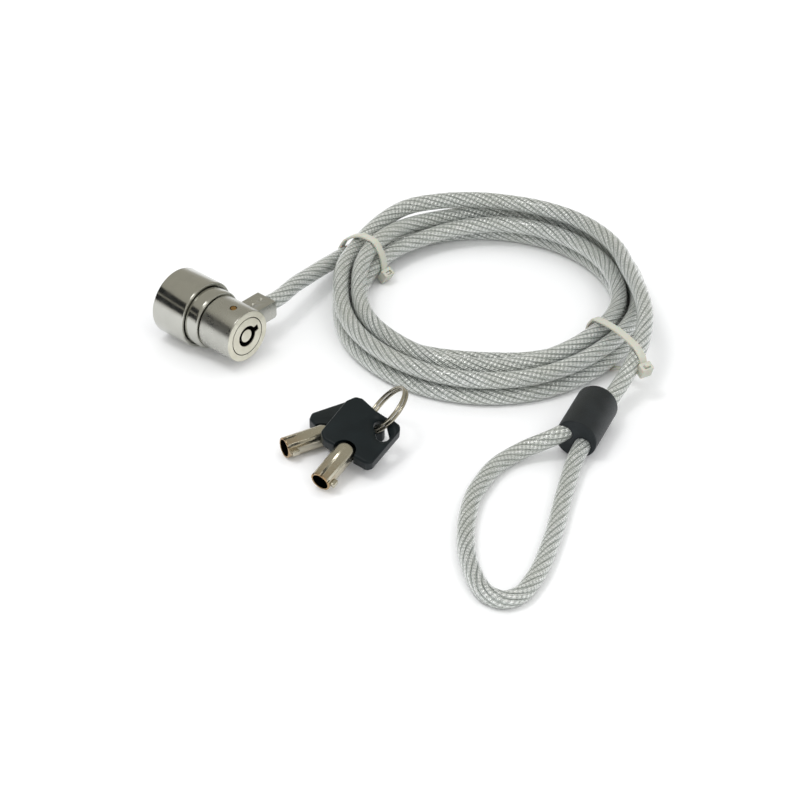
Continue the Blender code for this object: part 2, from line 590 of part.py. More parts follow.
def grow(loop, amount):
    """Offset a convex counter-clockwise outline outwards."""
    out = []
    for k, p in enumerate(loop):
        a, b = loop[k - 1], loop[(k + 1) % len(loop)]
        n1 = Vector((p[1] - a[1], a[0] - p[0])).normalized()
        n2 = Vector((b[1] - p[1], p[0] - b[0])).normalized()
        push = (n1 + n2) / (1 + n1.dot(n2)) * amount
        out.append((p[0] + push.x, p[1] + push.y))
    return out


def build_tie(name, bearing, paths, mat, root):
    """A flat band drawn round every length of cable that passes the bearing."""
    angle = radians(COIL_ZERO_BEARING - bearing)
    pivot = Vector((*COIL_CENTRE, 0)) + Vector((cos(angle), sin(angle), 0)) * TIE_PIVOT_R
    angle += radians(TIE_SKEWS[name])
    out = Vector((cos(angle), sin(angle), 0))
    along = Vector((-sin(angle), cos(angle), 0))
    centre = pivot - out * TIE_PIVOT_R
    circles = []
    for path in paths:
        for a, b in zip(path, path[1:]):
            for k in range(12):
                p = a.lerp(b, k / 12) - centre
                if abs(p.dot(along)) < TIE_WIDTH / 2 + 1 * MM and p.dot(out) > 0:
                    circles.append((p.dot(out), p.z))
    rim = []
    for u, v in circles:
        rim += [(round(u + (CABLE_R + SEAT) * cos(pi * k / 8), 7),
                 round(v + (CABLE_R + SEAT) * sin(pi * k / 8), 7)) for k in range(16)]
    loop = hull(rim)
    thin = [loop[0]]
    for p in loop[1:]:
        if hypot(p[0] - thin[-1][0], p[1] - thin[-1][1]) > 0.5 * MM:
            thin.append(p)
    outer = grow(thin, TIE_THICK)
    bm = bmesh.new()
    rings = []
    for outline, shift in ((thin, -1), (outer, -1), (outer, 1), (thin, 1)):
        rings.append([bm.verts.new(centre + out * u + Vector((0, 0, v))
                                   + along * shift * TIE_WIDTH / 2) for u, v in outline])
    count = len(thin)
    for ring, after in zip(rings, rings[1:] + rings[:1]):
        for k in range(count):
            bm.faces.new((ring[k], ring[(k + 1) % count], after[(k + 1) % count], after[k]))
    tie = add_mesh(name, bm, mat, root)
    # The ratchet box sits on the band, square to the side that it faces.
    side = radians(TIE_HEAD_SIDES[name])
    reach = max(u * cos(side) + v * sin(side) for u, v in outer)
    near = [(u, v) for u, v in outer if u * cos(side) + v * sin(side) > reach - 0.3 * MM]
    u = sum(p[0] for p in near) / len(near)
    v = sum(p[1] for p in near) / len(near)
    wide, deep, tall = TIE_HEAD
    head = box_mesh((-TIE_THICK / 2, -wide / 2, -tall / 2), (deep, wide / 2, tall / 2))
    place = (Matrix.Translation(centre + out * u + Vector((0, 0, v)))
             @ Matrix.Rotation(angle, 4, "Z") @ Matrix.Rotation(-side, 4, "Y"))
    boolean(tie, tool(name + "_box", head, root, place), "UNION")
    return tie


def build_cable(mats, root):
    lead, coil, tail, eye = cable_paths()
    tube("cable_lead", lead, CABLE_R, mats["cable"], root, 2)
    tube("cable_coil", coil, CABLE_R, mats["cable"], root, 1)
    tube("cable_tail", tail, CABLE_R, mats["cable"], root, 2)
    tube("cable_eye", eye, CABLE_R, mats["cable"], root, 2)
    whole = lead + coil + tail
    print("least gap of the coiled cable to itself: %.2f mm" % (least_gap(whole, CABLE_R, 0.06)
                                                                / MM))
    print("least gap of the eye to itself: %.2f mm" % (least_gap(eye, CABLE_R, 0.02) / MM))
    print("cable length: %.0f mm" % (sum(run_lengths(p)[-1] for p in (lead, coil, tail, eye))
                                     / MM))
    for name, bearing in TIE_ANGLES.items():
        build_tie(name, bearing, (lead, coil, tail), mats["nylon"], root)

    # Sleeve: round outside; the crimp's oval pocket and the cable's own paths are cut out of it.
    heading = Matrix.Rotation(radians(SLEEVE_HEADING), 4, "Z")
    place = Matrix.Translation(sleeve_point(0)) @ heading
    bm = bmesh.new()
    turn(bm, rod(0, SLEEVE_LENGTH, SLEEVE_R, 0.5 * MM), 40)
    sleeve = add_mesh("sleeve", bm, mats["black"], root)
    sleeve.matrix_local = place

    def oval(extra, x0, x1):
        half = LEG_OFFSET
        outline = []
        for side in (1, -1):
            for k in range(9):
                a = -pi / 2 + pi * k / 8 if side > 0 else pi / 2 + pi * k / 8
                outline.append((side * half + (CABLE_R + extra) * cos(a),
                                (CABLE_R + extra) * sin(a)))
        return prism(outline, 0, x0, x1)
    pocket_end = CRIMP_START + CRIMP_LENGTH + SEAT
    boolean(sleeve, tool("crimp_pocket", oval(SEAT, CRIMP_START - SEAT, pocket_end), root, place))
    crimp = add_mesh("loop_crimp", oval(0, CRIMP_START, CRIMP_START + CRIMP_LENGTH),
                     mats["steel"], root)
    crimp.matrix_local = place
    boolean(sleeve, rod_tool("tail_bore", sleeve_point(-1 * MM, LEG_OFFSET),
                             sleeve_point(CRIMP_START, LEG_OFFSET), CABLE_BORE_R, 20, root))
    for k, leg in enumerate((eye[:6], eye[:-7:-1])):
        inward = (leg[0] - leg[1]).normalized()
        way = sweep([leg[0] + inward * 2 * SEAT] + leg[1:], CABLE_R + SEAT * 1.4, 20)
        boolean(sleeve, tool("eye_way_%d" % (k + 1), way, root))


# ---------------------------------------------------------------- keys
def build_key(name, bunch, mats):
    tip, heading, pitch, roll, slot_angle = KEYS[name]
    frame = (Matrix.Translation(tip) @ Matrix.Rotation(radians(heading), 4, "Z")
             @ Matrix.Rotation(radians(-pitch), 4, "Y") @ Matrix.Rotation(radians(roll), 4, "X"))
    hole = Vector((KEY_HOLE[0], KEY_HOLE[1], 0))
    axis = empty(name + "_axis", frame @ Matrix.Translation(hole), bunch)

    def shift(bm):
        bmesh.ops.translate(bm, vec=-hole, verts=bm.verts)
        return bm
    head = add_mesh(name + "_head", shift(prism([(x * MM, y * MM) for x, y in HEAD_OUTLINE], 2,
                                                -HEAD_THICK / 2, HEAD_THICK / 2)),
                    mats["black"], axis)
    bevel(head, HEAD_EDGE, 2, 50)
    way = KEY_TUBE_R + SEAT
    mouth = [(KEY_NECK - 6 * MM, way), (KEY_NECK - 6 * MM, -way)]
    mouth += [(KEY_NECK + way * sin(pi * k / 12), -way * cos(pi * k / 12)) for k in range(13)]
    boolean(head, tool(name + "_mouth", shift(prism(mouth, 2, -HEAD_THICK, HEAD_THICK)), axis))
    boolean(head, rod_tool(name + "_stud_bore", Vector((KEY_NECK + way / 2, 0, 0)) - hole,
                           Vector((KEY_STUD_REACH + SEAT, 0, 0)) - hole,
                           KEY_STUD_R + SEAT, 12, axis))
    # Ring hole: a slot through a thin web, opened out to both faces.
    levels = [(-HEAD_THICK, KEY_HOLE_FLARE * 2), (-HEAD_THICK / 2, KEY_HOLE_FLARE),
              (-KEY_HOLE_WEB / 2, 0), (KEY_HOLE_WEB / 2, 0), (HEAD_THICK / 2, KEY_HOLE_FLARE),
              (HEAD_THICK, KEY_HOLE_FLARE * 2)]
    bm = bmesh.new()
    rings = []
    for z, wider in levels:
        ring = []
        for k in range(24):
            a = 2 * pi * (k + 0.5) / 24
            side = 1 if cos(a) > 0 else -1
            ring.append(bm.verts.new((side * KEY_HOLE_SLOT + (KEY_HOLE_R + wider) * cos(a),
                                      (KEY_HOLE_R + wider) * sin(a), z)))
        rings.append(ring)
    for low, high in zip(rings, rings[1:]):
        for k in range(24):
            bm.faces.new((low[k], low[(k + 1) % 24], high[(k + 1) % 24], high[k]))
    bm.faces.new(rings[0])
    bm.faces.new(rings[-1])
    boolean(head, tool(name + "_ring_slot", bm, axis,
                       Matrix.Rotation(radians(slot_angle), 4, "Z")))

    bore = KEY_TUBE_R - KEY_TUBE_WALL
    back = [(KEY_NECK + KEY_TUBE_R * sin(pi * k / 10), KEY_TUBE_R * cos(pi * k / 10))
            for k in range(4)]
    profile = [(KEY_TUBE_DEPTH, 0), (KEY_TUBE_DEPTH, bore), (0, bore),
               (0, KEY_TUBE_R - 0.2 * MM), (0.2 * MM, KEY_TUBE_R)] + back
    profile += [(profile[-1][0], KEY_STUD_R), (KEY_STUD_REACH, KEY_STUD_R), (KEY_STUD_REACH, 0)]
    bm = bmesh.new()
    turn(bm, profile, 28, -hole)
    body = add_mesh(name + "_tube", bm, mats["nickel"], axis)
    long, wide, high = KEY_NIB
    nib = tool(name + "_nib", shift(box_mesh(
        (KEY_NIB_BACK, -KEY_TUBE_R - high, -wide / 2),
        (KEY_NIB_BACK + long, -KEY_TUBE_R + KEY_TUBE_WALL / 2, wide / 2))), axis)
    boolean(body, nib, "UNION")


def build_keys(mats, root):
    bunch = empty("key_bunch_axis", Matrix.Identity(4), root)
    for name in KEYS:
        build_key(name, bunch, mats)
    # Split ring: two turns of wire side by side.
    normal = Vector(RING_AXIS).normalized()
    turn_to = Vector((0, 0, 1)).rotation_difference(normal).to_matrix().to_4x4()
    place = Matrix.Translation(RING_CENTRE) @ turn_to
    count = 26
    points = []
    for k in range(2 * count):
        a = 2 * pi * k / count
        ramp = (k / (2 * count - 1) - 0.5) * RING_PITCH
        points.append(Vector((RING_R * cos(a), RING_R * sin(a), ramp * 2 * 0.98)))
    ring = tube("key_ring", points, RING_WIRE_R, mats["nickel"], bunch, 1)
    ring.matrix_local = place


def main():
    clear_scene()
    mats = {
        "chrome": material("chrome", (0.72, 0.72, 0.70), 0.12, 1.0),
        "satin": material("satin nickel", (0.66, 0.66, 0.62), 0.28, 1.0),
        "pale": material("pale metal", (0.80, 0.79, 0.70), 0.35, 1.0),
        "steel": material("steel", (0.60, 0.60, 0.60), 0.30, 1.0),
        "brass": material("brass", (0.72, 0.50, 0.20), 0.30, 1.0),
        "nickel": material("warm nickel", (0.62, 0.56, 0.44), 0.25, 1.0),
        "black": material("black plastic", (0.012, 0.020, 0.022), 0.42),
        "rubber": material("rubber", (0.02, 0.02, 0.02), 0.8),
        "nylon": material("natural nylon", (0.75, 0.75, 0.66), 0.4),
        "cable": material("clear coated wire rope", (0.40, 0.42, 0.40), 0.25, 0.6),
    }
    root = empty("cord_side")
    head = empty("head_axis", Matrix.Identity(4), root)
    plug = empty("plug_axis", Matrix.Identity(4), head)
    build_head(mats, head, plug, root)
    build_cable(mats, root)
    build_keys(mats, root)


main()
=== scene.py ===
"""Cable lock for a notebook computer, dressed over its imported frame.

Metres, +Z up.  +X runs along the lock from the T-bar to the keyway and +Y is the way the cable
leaves its lug.
"""
from math import atan2, cos, hypot, pi, radians, sin, sqrt, tan

import bmesh
import bpy
from bpy.props import FloatProperty, FloatVectorProperty, IntProperty, PointerProperty
from mathutils import Matrix, Vector


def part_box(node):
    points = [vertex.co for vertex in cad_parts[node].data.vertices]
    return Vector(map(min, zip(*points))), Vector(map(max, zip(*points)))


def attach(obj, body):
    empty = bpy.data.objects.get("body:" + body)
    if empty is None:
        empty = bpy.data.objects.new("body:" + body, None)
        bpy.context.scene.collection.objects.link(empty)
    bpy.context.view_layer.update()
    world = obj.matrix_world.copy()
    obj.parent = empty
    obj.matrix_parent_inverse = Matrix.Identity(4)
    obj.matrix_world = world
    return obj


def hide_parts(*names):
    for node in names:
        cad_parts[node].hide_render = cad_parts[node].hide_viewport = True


bl_info = {
    "name": "Cable Lock",
    "version": (1, 0, 0),
    "blender": (4, 5, 0),
    "location": "3D View > Sidebar > Cable Lock",
    "description": "Dresses a notebook cable lock: rope, ties, sleeve, lock head and keys",
    "category": "Object",
}

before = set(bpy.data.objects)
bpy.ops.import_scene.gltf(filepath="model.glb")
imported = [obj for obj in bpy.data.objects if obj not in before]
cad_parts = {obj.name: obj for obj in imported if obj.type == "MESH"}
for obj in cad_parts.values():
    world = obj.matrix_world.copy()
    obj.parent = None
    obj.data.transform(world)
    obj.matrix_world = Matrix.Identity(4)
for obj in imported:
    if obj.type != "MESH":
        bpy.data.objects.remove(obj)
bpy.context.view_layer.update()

MM = 0.001
SEAT = 0.3 * MM
TABLE_Z = -11.5 * MM

# Lock head, as in the part's source
COLLAR_R, STEP_R, SHELL_R, CORE_R = 11.5 * MM, 10.1 * MM, 9.1 * MM, 6.5 * MM
NOSE_X, CORE_X, FACE_X = 4.0 * MM, 7.0 * MM, 36.3 * MM
NOSE_R, WASHER_R, WASHER_HOLE_R = 8.2 * MM, 10.0 * MM, 5.0 * MM
LUG_X, LUG_LENGTH, LUG_REACH = 28 * MM, 8 * MM, 18.2 * MM
LUG_HALF_Z, LUG_FILLET = 3.3 * MM, 2.5 * MM
FERRULE_R, FERRULE_LENGTH = 2.1 * MM, 7.3 * MM
DENT_Y, DENT_R, DENT_DEPTH = (10.9 * MM, 14.8 * MM), 0.85 * MM, 0.5 * MM
BRASS_PIN_R, BRASS_PIN_X, BRASS_PIN_ANGLE = 1.1 * MM, 31.0 * MM, 94.0

# Cable route, as in the part's source: radius and height of each loop of the coil at chosen
# bearings round its centre, then the free runs, in millimetres
CABLE_R = 2.75 * MM
COIL_CENTRE = (71.3 * MM, 77.6 * MM)
COIL_START, COIL_LOOPS, COIL_EXTRA, COIL_STEP, COIL_ZERO_BEARING = 235, 4, 120, 15, 39.0
COIL_SECTIONS = {
    235: [(50.6, 2.75), (44.5, 2.75), (39.4, 6.2), (44.3, 9.9), (49.6, 13.75)],
    243: [(50.35, 2.75), (44.3, 2.75), (39.4, 6.7), (44.9, 9.35), (49.0, 13.75)],
    252: [(50.1, 2.75), (44.05, 2.75), (39.5, 7.2), (45.5, 8.9), (46.6, 15.0)],
    280: [(50.2, 2.75), (44.0, 2.75), (40.6, 8.5), (47.0, 9.5), (44.6, 15.0)],
    315: [(51.3, 2.75), (44.9, 2.75), (42.5, 8.7), (49.0, 9.3), (46.4, 14.8)],
    360: [(52.6, 2.75), (46.0, 2.75), (45.3, 8.85), (52.0, 8.8), (48.8, 14.85)],
    405: [(54.6, 2.75), (44.4, 5.1), (48.1, 10.2), (54.2, 8.8)],
    450: [(55.8, 2.75), (42.6, 7.8), (49.1, 9.8), (55.4, 8.8)],
    495: [(52.1, 2.75), (42.2, 5.0), (45.4, 10.35), (51.5, 8.9)],
    530: [(48.4, 2.75), (42.2, 2.75), (42.1, 8.9), (48.3, 8.75)],
    550: [(47.9, 2.75), (41.7, 3.6), (42.4, 9.7), (48.6, 8.9)],
    570: [(45.6, 2.75), (40.0, 5.2), (42.9, 10.5), (48.9, 8.6)],
    582: [(45.1, 2.75), (39.6, 5.6), (43.3, 10.5), (49.6, 11.3)],
}
LEAD_ROUTE = [(26.9, 27.0, -0.1), (25.6, 34.5, -0.8), (24.0, 42.0, -2.0), (22.0, 50.0, -3.7),
              (20.1, 58.0, -5.5), (18.9, 65.0, -6.8), (18.6, 73.0, -7.6), (19.3, 80.0, -8.2)]
TAIL_ROUTE = [(121.3, 98.8, 5.3), (130.3, 89.6, 4.9), (136.1, 80.3, 3.4), (139.4, 72.8, 1.5),
              (140.4, 67.0, -1.4), (141.0, 62.8, -3.6)]
EYE_ROUTE = [(144.0, 33.3, -3.1), (143.1, 30.3, -3.7), (141.4, 27.5, -4.8), (139.0, 24.6, -6.2),
             (136.3, 20.4, -7.8), (135.0, 15.9, -8.6), (134.6, 10.6, -8.75),
             (135.4, 5.4, -8.75), (136.8, 0.5, -8.75), (138.3, -4.0, -8.75),
             (140.3, -8.3, -8.75), (142.8, -12.5, -8.75), (145.4, -16.5, -8.75),
             (148.4, -20.5, -8.75), (152.0, -24.7, -8.75), (156.2, -29.1, -8.75),
             (161.2, -33.1, -8.75), (167.2, -37.1, -8.75), (172.3, -39.1, -8.75),
             (176.4, -39.1, -8.75), (179.3, -36.6, -8.75), (180.2, -32.3, -8.75),
             (178.7, -25.4, -8.75), (176.6, -19.2, -8.75), (174.2, -14.1, -8.75),
             (170.2, -6.1, -8.75), (166.2, 1.2, -8.75), (160.8, 10.4, -8.6),
             (156.2, 18.8, -8.3), (153.3, 24.2, -8.2), (151.4, 28.4, -7.4),
             (150.3, 31.7, -6.7)]
# Degrees of the coil round each tie in which the loops lift off the table to let it under
TIE_LIFT_SPREAD = 34.0
TIE_THICK, TIE_WIDTH, TIE_BOW = 0.9 * MM, 2.6 * MM, 1.1 * MM
TIE_HEAD = (4.4 * MM, 2.8 * MM, 4.4 * MM)
# Bearing of each tie on the coil, its turn about a point over the loops, and the side in its
# own section that the ratchet box faces, all in degrees
TIE_PIVOT_R = 50 * MM
TIE_ANGLES = {"tie_left": 206.8, "tie_right": 36.6}
TIE_SKEWS = {"tie_left": -12.2, "tie_right": -21.0}
TIE_HEAD_SIDES = {"tie_left": 212.0, "tie_right": -20.0}
SLEEVE_R, SLEEVE_LENGTH = 6.85 * MM, 21.2 * MM
SLEEVE_FAR, SLEEVE_HEADING = (140.6 * MM, 52.5 * MM), -70.5
CRIMP_START, CRIMP_LENGTH = 2.5 * MM, 8.0 * MM
# Middle of each cable in the sleeve from its axis, and the turn of the eye's legs about it
LEG_OFFSET, LEG_TILT = 3.0 * MM, 35.0

# Keys, as in the part's source: tip, heading, pitch, roll and the ring slot's turn in the head
KEY_TUBE_R, KEY_TUBE_WALL, KEY_TUBE_DEPTH, KEY_NECK = 3.5 * MM, 0.75 * MM, 8.5 * MM, 13.2 * MM
KEY_STUD_R, KEY_STUD_REACH = 1.7 * MM, 22.0 * MM
KEY_NIB, KEY_NIB_BACK = (2.4 * MM, 1.8 * MM, 1.1 * MM), 0.9 * MM
HEAD_THICK = 4.4 * MM
KEY_HOLE = (26.6 * MM, -5.0 * MM)
KEY_HOLE_R, KEY_HOLE_SLOT, KEY_HOLE_WEB, KEY_HOLE_FLARE = 2.1 * MM, 2.0 * MM, 1.6 * MM, 1.9 * MM
RING_R, RING_PITCH = 8.1 * MM, 1.2 * MM
RING_CENTRE, RING_AXIS = (97.71 * MM, 0.33 * MM, 0.27 * MM), (0.615, 0.443, -0.715)
KEYS = {
    "key_1": ((80.03 * MM, -28.26 * MM, -8.0 * MM), 71.0, 0.0, 0.0, 55.0),
    "key_2": ((100.93 * MM, -34.1 * MM, -7.4 * MM), 97.5, 13.0, 12.0, 45.0),
}
HEAD_OUTLINE = [(12.8, 3.8), (12.8, 7.7), (14.9, 10.0), (29.4, 10.3), (32.4, 8.8), (33.1, 6.6),
                (31.6, 0.6), (31.3, -3.2), (31.6, -6.4), (31.2, -8.8), (29.6, -9.9),
                (14.2, -9.8), (12.8, -8.6), (12.8, -3.8)]
# Depth in millimetres of the seven cuts round the keys' tips, and the radius of the cutter
KEY_CUTS, KEY_CUT_R = (1.2, 2.2, 0.8, 1.7, 1.2, 2.6, 0.8), 0.48 * MM


def linear(code):
    """An sRGB hex colour as linear red, green, blue."""
    parts = [int(code[i:i + 2], 16) / 255 for i in (1, 3, 5)]
    return tuple(c / 12.92 if c <= 0.04045 else ((c + 0.055) / 1.055) ** 2.4 for c in parts)


# ------------------------------------------------------------------------------ settings
def colour(name, description, code):
    """A colour setting from an sRGB hex value."""
    return FloatVectorProperty(name=name, description=description, subtype="COLOR", size=3,
                               min=0, max=1, default=linear(code))


def length(name, description, value):
    """A length setting in metres."""
    return FloatProperty(name=name, description=description, subtype="DISTANCE", unit="LENGTH",
                         min=0, precision=5, default=value)


class RopeSettings(bpy.types.PropertyGroup):
    wires: IntProperty(name="Outer strands", description="Strands in the rope's outer layer",
                       min=4, max=36, default=9)
    lay_length: length("Lay length", "Length of rope in which a wire goes round once", 0.0385)
    sides: IntProperty(name="Sides", description="Facets round the cable", min=8, default=40)
    # The wire colours are painted light and shade: the crown is the painted lit side of a wire,
    # the groove the painted shade between wires.
    crown: colour("Wire crown", "Lit side of a wire under the coat", "#ebefed")
    flank: colour("Wire flank", "Side of a wire under the coat", "#bfc5c2")
    groove_shade: colour("Groove", "Gap between two wires", "#8f9693")
    tie: colour("Tie", "Natural nylon of the ties", "#cbccc3")
    sleeve: colour("Sleeve", "Soft black vinyl of the sleeve", "#181e21")


class LockSettings(bpy.types.PropertyGroup):
    facets: IntProperty(name="Facets", description="Facets of the turned pieces",
                        min=32, default=128)
    edge: length("Edge", "Rounding of the lock's outer edges", 0.0005)
    chrome: colour("Chrome", "Chrome plate of the collar and shell", "#c3c3bc")
    face: colour("Face", "Machined face round the keyway", "#e3e1d3")
    brass: colour("Brass", "Bare brass of the pin and rotor", "#a98450")
    rubber: colour("Rubber", "Washer that rests on the computer", "#1d1d1d")


class KeySettings(bpy.types.PropertyGroup):
    nickel: colour("Nickel", "Nickel plate of the key tubes and ring", "#bdb8a8")
    worn: colour("Worn plate", "Brass that shows where the plate is rubbed thin", "#a88b66")
    head: colour("Key head", "Moulded plastic of the key heads", "#121a1d")
    wire: length("Ring wire", "Radius of the split ring's wire", 0.00052)


class StageSettings(bpy.types.PropertyGroup):
    ceiling: colour("Ceiling", "Surroundings above the table, in reflections only", "#bcb9ae")
    lamp: FloatProperty(name="Lamp power", description="Power of the main soft lamp",
                        subtype="POWER", unit="POWER", min=0, default=1.6)


# ------------------------------------------------------------------------------ node and mesh help
def add(tree, kind, links=None, **settings):
    """One node with its settings; links maps an input to a value or to a socket."""
    node = tree.nodes.new(kind)
    for key, value in settings.items():
        setattr(node, key, value)
    for key, value in (links or {}).items():
        if isinstance(value, bpy.types.NodeSocket):
            tree.links.new(value, node.inputs[key])
        else:
            node.inputs[key].default_value = value
    return node


def shader_of(name, **values):
    """A new material, its tree and its Principled shader with plain values set on it."""
    mat = bpy.data.materials.new(name)
    mat.use_nodes = True
    shader = mat.node_tree.nodes["Principled BSDF"]
    for key, value in values.items():
        shader.inputs[key.replace("_", " ")].default_value = value
    return mat, mat.node_tree, shader


def finish(tree, shader, tint, rough, height, strength, depth):
    """Links a finish's tint, roughness and bump, with the bump's depth in metres."""
    tree.links.new(tint.outputs[2], shader.inputs["Base Color"])
    if rough:
        tree.links.new(rough.outputs[0], shader.inputs["Roughness"])
    bump = add(tree, "ShaderNodeBump", {"Strength": strength, "Distance": depth,
                                        "Height": height.outputs[0]})
    tree.links.new(bump.outputs[0], shader.inputs["Normal"])


def rgba(value):
    """A colour with an alpha of 1, as the sockets take it."""
    return (*value, 1.0)


def shade(mesh, sharp):
    """Smooth shading, with the edges that turn by more than the angle kept sharp."""
    mesh.shade_smooth()
    mesh.set_sharp_from_angle(angle=radians(sharp))


def mesh_piece(name, bm, mat=None, sharp=32):
    """A smooth-shaded object from a bmesh, with its doubles merged and its faces outwards."""
    bmesh.ops.remove_doubles(bm, verts=bm.verts, dist=1e-7)
    bmesh.ops.recalc_face_normals(bm, faces=bm.faces)
    mesh = bpy.data.meshes.new(name)
    bm.to_mesh(mesh)
    bm.free()
    shade(mesh, sharp)
    if mat:
        mesh.materials.append(mat)
    obj = bpy.data.objects.new(name, mesh)
    bpy.context.scene.collection.objects.link(obj)
    return obj


def freeze(obj):
    """Turns the modified object into a plain mesh that sits at the origin."""
    bpy.context.view_layer.update()
    depsgraph = bpy.context.evaluated_depsgraph_get()
    mesh = bpy.data.meshes.new_from_object(obj.evaluated_get(depsgraph),
                                           preserve_all_data_layers=True, depsgraph=depsgraph)
    mesh.transform(obj.matrix_world)
    name = obj.name
    mats = list(obj.data.materials)
    bpy.data.objects.remove(obj)
    mesh.name = name
    if not mesh.materials:
        for mat in mats:
            mesh.materials.append(mat)
    out = bpy.data.objects.new(name, mesh)
    bpy.context.scene.collection.objects.link(out)
    return out


def carve(obj, others, operation="DIFFERENCE"):
    """Cuts or joins the other objects, then removes them."""
    for other in others:
        mod = obj.modifiers.new(other.name, "BOOLEAN")
        mod.operation = operation
        mod.solver = "EXACT"
        mod.object = other
    out = freeze(obj)
    for other in others:
        bpy.data.objects.remove(other)
    return out


def soften(obj, width, segments, angle):
    """Rounds the sharp edges and evens the shading over the flats."""
    mod = obj.modifiers.new("Edges", "BEVEL")
    mod.width = width
    mod.segments = segments
    mod.limit_method = "ANGLE"
    mod.angle_limit = radians(angle)
    out = freeze(obj)
    shade(out.data, 40)
    mod = out.modifiers.new("Shading", "WEIGHTED_NORMAL")
    mod.keep_sharp = True
    return freeze(out)


def turned(name, profile, mat, facets):
    """A piece turned about the X axis from a closed (x, radius) outline."""
    bm, rings = bmesh.new(), []
    for x, r in profile:
        if r < 1e-6:
            rings.append([bm.verts.new((x, 0, 0))] * facets)
        else:
            rings.append([bm.verts.new((x, r * cos(2 * pi * k / facets),
                                        r * sin(2 * pi * k / facets)))
                          for k in range(facets)])
    for ring, after in zip(rings, rings[1:] + rings[:1]):
        for k in range(facets):
            corners = [ring[k], after[k], after[(k + 1) % facets], ring[(k + 1) % facets]]
            loop = [v for i, v in enumerate(corners) if v not in corners[:i]]
            if len(loop) > 2:
                bm.faces.new(loop)
    return mesh_piece(name, bm, mat)


def fillet(outline, radii, steps):
    """A closed 2-D outline with its corners rounded: one radius, or one for each corner."""
    out, count = [], len(outline)
    for k, corner in enumerate(outline):
        radius = radii[k] if hasattr(radii, "__len__") else radii
        p = Vector(corner)
        a, b = Vector(outline[k - 1]) - p, Vector(outline[(k + 1) % count]) - p
        half = a.angle(b) / 2
        if radius <= 0 or half > radians(88):
            out.append(tuple(p))
            continue
        cut = min(radius / tan(half), a.length * 0.49, b.length * 0.49)
        start, end = p + a.normalized() * cut, p + b.normalized() * cut
        centre = p + (a.normalized() + b.normalized()).normalized() * (cut / cos(half))
        s, e = start - centre, end - centre
        whole = atan2(s.x * e.y - s.y * e.x, s.dot(e))
        for i in range(steps + 1):
            t = whole * i / steps
            out.append((centre.x + s.x * cos(t) - s.y * sin(t),
                        centre.y + s.x * sin(t) + s.y * cos(t)))
    return out


def prism(name, outline, axis, start, end, mat=None):
    """A closed 2-D outline pulled along world axis 0 or 2."""
    bm = bmesh.new()
    low = [bm.verts.new((start, u, v) if axis == 0 else (u, v, start)) for u, v in outline]
    high = [bm.verts.new((end, u, v) if axis == 0 else (u, v, end)) for u, v in outline]
    bm.faces.new(low)
    bm.faces.new(high)
    for k in range(len(outline)):
        after = (k + 1) % len(outline)
        bm.faces.new((low[k], low[after], high[after], high[k]))
    return mesh_piece(name, bm, mat)


def block(name, low, high, mat=None):
    """A box between two corners."""
    return prism(name, [(low[0], low[1]), (high[0], low[1]), (high[0], high[1]),
                        (low[0], high[1])], 2, low[2], high[2], mat)


def bar(name, start, end, radius, facets):
    """A round bar from start to end, mostly used as a cutter."""
    start, end = Vector(start), Vector(end)
    obj = turned(name, [(0, 0), (0, radius), ((end - start).length, radius),
                        ((end - start).length, 0)], None, facets)
    obj.data.transform(Matrix.Translation(start) @ Vector((1, 0, 0)).rotation_difference(
        end - start).to_matrix().to_4x4())
    return obj


def done(obj, body, slot, *nodes):
    """Gives a finished piece its body and hides the CAD nodes that it stands for; the slot is not
    used.
    """
    if nodes:
        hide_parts(*nodes)
    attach(obj, body)
    return obj


def dress(mat, *nodes):
    """Gives CAD nodes a material and leaves their shape alone."""
    for name in nodes:
        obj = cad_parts[name]
        if not obj.material_slots:
            obj.data.materials.append(mat)
        for material_slot in obj.material_slots:
            material_slot.material = mat


# ------------------------------------------------------------------------------ the cable's route
def hermite(xs, ys, x):
    """Smooth value at x of the curve through (xs, ys)."""
    last, i = len(xs) - 1, 0
    while i < last - 1 and x >= xs[i + 1]:
        i += 1

    def slope(k):
        a, b = max(0, k - 1), min(last, k + 1)
        return (ys[b] - ys[a]) / (xs[b] - xs[a])
    span = xs[i + 1] - xs[i]
    t = (x - xs[i]) / span
    return ((2 * t ** 3 - 3 * t ** 2 + 1) * ys[i] + (t ** 3 - 2 * t ** 2 + t) * span * slope(i)
            + (3 * t ** 2 - 2 * t ** 3) * ys[i + 1] + (t ** 3 - t ** 2) * span * slope(i + 1))


def run_lengths(points):
    """Distance along the points to each of them."""
    total = [0.0]
    for a, b in zip(points, points[1:]):
        total.append(total[-1] + (Vector(b) - Vector(a)).length)
    return total


def smooth_path(route, step):
    """Points every `step` on the smooth curve through the route, whose end runs are straight."""
    lengths = run_lengths(route)
    first, last = lengths[1], lengths[-2]
    count = max(1, round((last - first) / step))
    columns = [[p[axis] for p in route] for axis in range(3)]
    inner = [Vector([hermite(lengths, column, first + (last - first) * k / count)
                     for column in columns]) for k in range(count + 1)]
    return [Vector(route[0])] + inner + [Vector(route[-1])]


def refined(points, parts=4):
    """The smooth curve through the points, with `parts` steps in each span."""
    lengths = run_lengths(points)
    columns = [[p[axis] for p in points] for axis in range(3)]
    out = []
    for a, b in zip(lengths, lengths[1:]):
        out += [Vector([hermite(lengths, c, a + (b - a) * k / parts) for c in columns])
                for k in range(parts)]
    return out + [Vector(points[-1])]


COIL_STATIONS = sorted((bearing + 360 * loop, *pair)
                       for bearing, pairs in COIL_SECTIONS.items()
                       for loop, pair in enumerate(pairs))
COIL_BEARINGS, COIL_RADII, COIL_HEIGHTS = zip(*COIL_STATIONS)


